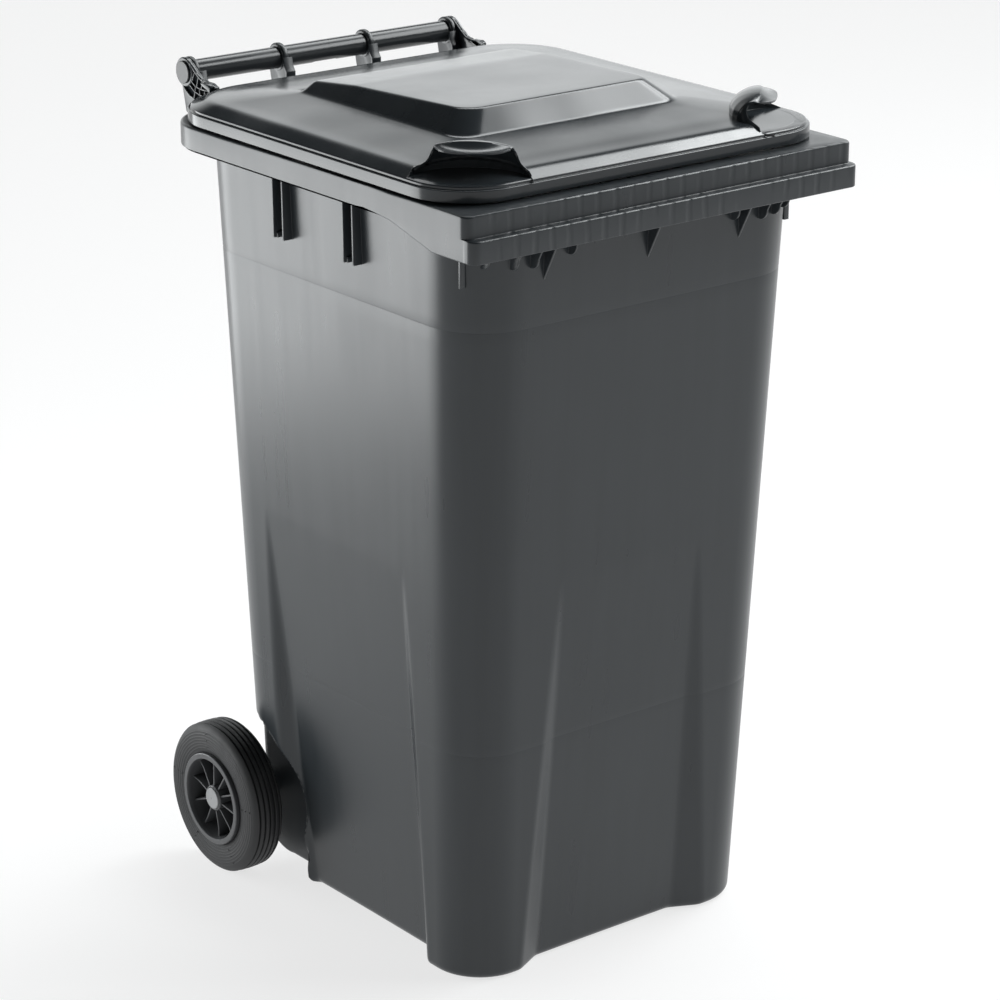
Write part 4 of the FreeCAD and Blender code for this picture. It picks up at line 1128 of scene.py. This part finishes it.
def wheel_centre_mesh():
    """Hub, dished web, barrel with its flange ring, and ten thin kinked spokes."""
    outer = WHEEL_OUTER
    inner = WHEEL_X - TYRE_HALF
    hub_in, hub_out = 217.5, 279.0
    web = WHEEL_X - 15.0
    barrel = SEAT - 3.5
    profile = [(hub_in, 12.9), (hub_out - 4.2, 12.9), (hub_out - 4.2, 14.0), (hub_out - 0.4, 14.0),
               (hub_out, 14.4), (hub_out, 15.8), (hub_out - 1.0, 16.8), (web + 6.0, 17.6),
               (web + 3.6, 19.0), (web + 3.0, 22.0), (web + 3.0, barrel - 6.0), (web + 4.0, barrel - 3.0),
               (web + 7.0, barrel - 1.6), (outer - 6.0, barrel - 0.4), (outer - 1.2, barrel),
               (outer, barrel + 0.8), (outer, barrel + 3.0), (outer, FLANGE - 1.0),
               (outer - 0.8, FLANGE), (outer - 5.4, FLANGE), (outer - 7.0, SEAT), (inner + 5.0, SEAT),
               (inner + 3.4, FLANGE), (inner + 0.8, FLANGE), (inner, FLANGE - 0.8), (inner, barrel + 0.8),
               (inner + 0.8, barrel), (web - 3.0, barrel - 2.0), (web, barrel - 5.0), (web, 19.0),
               (web - 2.0, 17.4), (hub_in + 0.6, 17.0), (hub_in, 16.4)]
    meshes = [turned("wheel_centre", profile, 144)]
    spoke = [(web + 1.5, 15.5), (hub_out - 2.0, 15.5), (hub_out - 3.0, 19.0), (hub_out - 5.0, 43.0),
             (outer - 9.0, barrel + 1.0), (web + 1.5, barrel + 1.0)]
    for index in range(SPOKE_COUNT):
        mesh = prism("spoke", spoke, "z", -1.1, 1.1, 0.35)
        mesh.transform(Matrix.Rotation(2.0 * math.pi * index / SPOKE_COUNT, 4, "X"))
        meshes.append(mesh)
    boss = arc_points((250.0, 0.0), 5.5, 0.0, 360.0, 24)[:-1]
    meshes.append(prism("lock_boss", boss, "z", 14.5, 28.0, 0.7))
    return join_meshes("wheel_centre", meshes)


def place_wheel_piece(name, mesh, side, material, replaced):
    """Puts a copy of a wheel's mesh on its end of the axle."""
    copy = mesh.copy()
    copy.transform(Matrix.Rotation(WHEEL_TURN, 4, "X"))
    if side == "left":
        copy.transform(Matrix.Rotation(math.pi, 4, "Z"))
    obj = new_object(f"{name}_{side}", shifted(copy, 0.0, AXLE[1], AXLE[2]))
    tidy_mesh(obj.data)
    obj.data.materials.append(material)
    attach(obj, f"wheel_{side}")
    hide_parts(f"{replaced}_{side}")


def make_wheels():
    """A tyre and a wheel centre on each side."""
    tyre, centre = tyre_mesh(), wheel_centre_mesh()
    for side in ("left", "right"):
        place_wheel_piece("ribbed_tyre", tyre, side, TYRE_RUBBER, "tyre")
        place_wheel_piece("spoked_centre", centre, side, WHEEL_PLASTIC, "wheel_rim")


# ---- CAD nodes that stay

def dress_cad_nodes():
    """Materials for every CAD node, shown or not."""
    plain = {"body": CONTAINER_PLASTIC, "lid": LID_PLASTIC, "handle_tube": TUBE_PLASTIC,
             "axle": AXLE_STEEL}
    pairs = {"hinge_pin": PIN_PLASTIC, "axle_spacer": BEARING_PLASTIC, "axle_bush": BEARING_PLASTIC,
             "hub_cap": CAP_PLASTIC, "lock_pin": AXLE_STEEL, "lock_spring": SPRING_STEEL,
             "tyre": TYRE_RUBBER, "wheel_rim": WHEEL_PLASTIC}
    for name, material in pairs.items():
        for side in ("left", "right"):
            plain[f"{name}_{side}"] = material
    for name, material in plain.items():
        mesh = frame["nodes"][name].data
        mesh.materials.clear()
        mesh.materials.append(material)


# ---- floor, light and camera

def pale_material(name, shade, roughness, glow):
    """A matt pale surface that glows a little."""
    material, _, shader = new_material(name)
    feed(shader, {"Base Color": (shade, shade, shade, 1.0), "Roughness": roughness,
                  "Emission Color": (1.0, 1.0, 1.0, 1.0), "Emission Strength": glow})
    return material


def make_stage():
    """A wide level floor."""
    size = 30000.0
    corners = [(-size, -size, 0.0), (size, -size, 0.0), (size, size, 0.0), (-size, size, 0.0)]
    floor = new_object("floor", new_mesh("floor", corners, [(0, 1, 2, 3)]))
    floor.data.materials.append(pale_material("floor_pale", 0.25, 0.9, 0.72))


COOL_WHITE = (0.967, 0.993, 1.0)


def area_light(name, place, target, width, height, power):
    """A soft rectangular light at a place in metres, aimed at a target."""
    data = bpy.data.lights.new(name, "AREA")
    data.shape = "RECTANGLE"
    data.size, data.size_y = width, height
    data.energy = power
    data.color = COOL_WHITE
    obj = bpy.data.objects.new(name, data)
    bpy.context.scene.collection.objects.link(obj)
    obj.location = place
    obj.rotation_euler = (Vector(target) - Vector(place)).to_track_quat("-Z", "Y").to_euler()
    obj.visible_camera = False


# the studio's bright wall behind, and a bright box overhead on the right
WALL_DIRECTION = (0.62, 0.78, 0.0)
BOX_DIRECTION = (0.866, 0.5, 0.0)
SKY_DIM, SKY_PALE, WALL_BRIGHT, BOX_BRIGHT = 0.05, 0.7, 1.45, 6.5


def facing(tree, vector, direction):
    """How far a direction of the sky agrees with another."""
    inputs = {0: vector, 1: direction}
    return node(tree, "ShaderNodeVectorMath", inputs, operation="DOT_PRODUCT").outputs["Value"]


def make_world():
    """A studio: pale near the horizon, dim above, with a wall that fades with height and a bright box."""
    world = bpy.data.worlds.new("studio")
    world.use_nodes = True
    tree = world.node_tree
    sky = node(tree, "ShaderNodeTexCoord").outputs["Generated"]
    up = node(tree, "ShaderNodeSeparateXYZ", {"Vector": sky}).outputs["Z"]

    horizon = soft_mask(tree, up, 0.05, 0.25, rising=False)
    pale = mapped(tree, horizon, (0.0, 1.0), (SKY_DIM, SKY_PALE))
    low_wall = soft_mask(tree, up, 0.25, 0.6, rising=False)
    wall_side = soft_mask(tree, facing(tree, sky, WALL_DIRECTION), 0.4, 0.9)
    wall = maths(tree, "MULTIPLY", maths(tree, "MULTIPLY", low_wall, wall_side), WALL_BRIGHT)
    box_side = soft_mask(tree, facing(tree, sky, BOX_DIRECTION), 0.42, 0.6)
    box_height = soft_mask(tree, up, 0.64, 0.74)
    box = maths(tree, "MULTIPLY", maths(tree, "MULTIPLY", box_side, box_height), BOX_BRIGHT)
    level = maths(tree, "MAXIMUM", maths(tree, "MAXIMUM", pale, wall), box)
    feed(tree.nodes["Background"], {"Strength": level, "Color": (*COOL_WHITE, 1.0)})
    bpy.context.scene.world = world


def make_light():
    """The studio round the part and three soft lights."""
    make_world()
    area_light("soft_left", (-1.3, 1.4, 0.55), (-0.2, 0.0, 0.62), 1.8, 0.9, 18.5)
    area_light("soft_left_low", (-1.15, 1.2, 0.42), (-0.2, 0.0, 0.6), 1.8, 0.7, 6.5)
    area_light("soft_right", (3.2, -0.9, 3.5), (0.0, 0.0, 0.9), 4.4, 2.2, 225.0)


def make_camera():
    """A long lens that looks down on the front left corner."""
    data = bpy.data.cameras.new("camera")
    data.sensor_width = 36.0
    data.lens = 123.34
    data.shift_x = -0.0003
    data.shift_y = -0.0025
    data.dof.use_dof = False
    camera = bpy.data.objects.new("camera", data)
    bpy.context.scene.collection.objects.link(camera)
    camera.location = (-2.4934, -3.2046, 1.9427)
    tilt, heading = math.radians(70.58), math.radians(-38.18)
    camera.rotation_euler = (tilt, 0.0, heading)
    bpy.context.scene.camera = camera
    bpy.context.scene.view_settings.view_transform = "Standard"


make_container()
make_lid()
make_wheels()
dress_cad_nodes()
make_stage()
make_light()
make_camera()
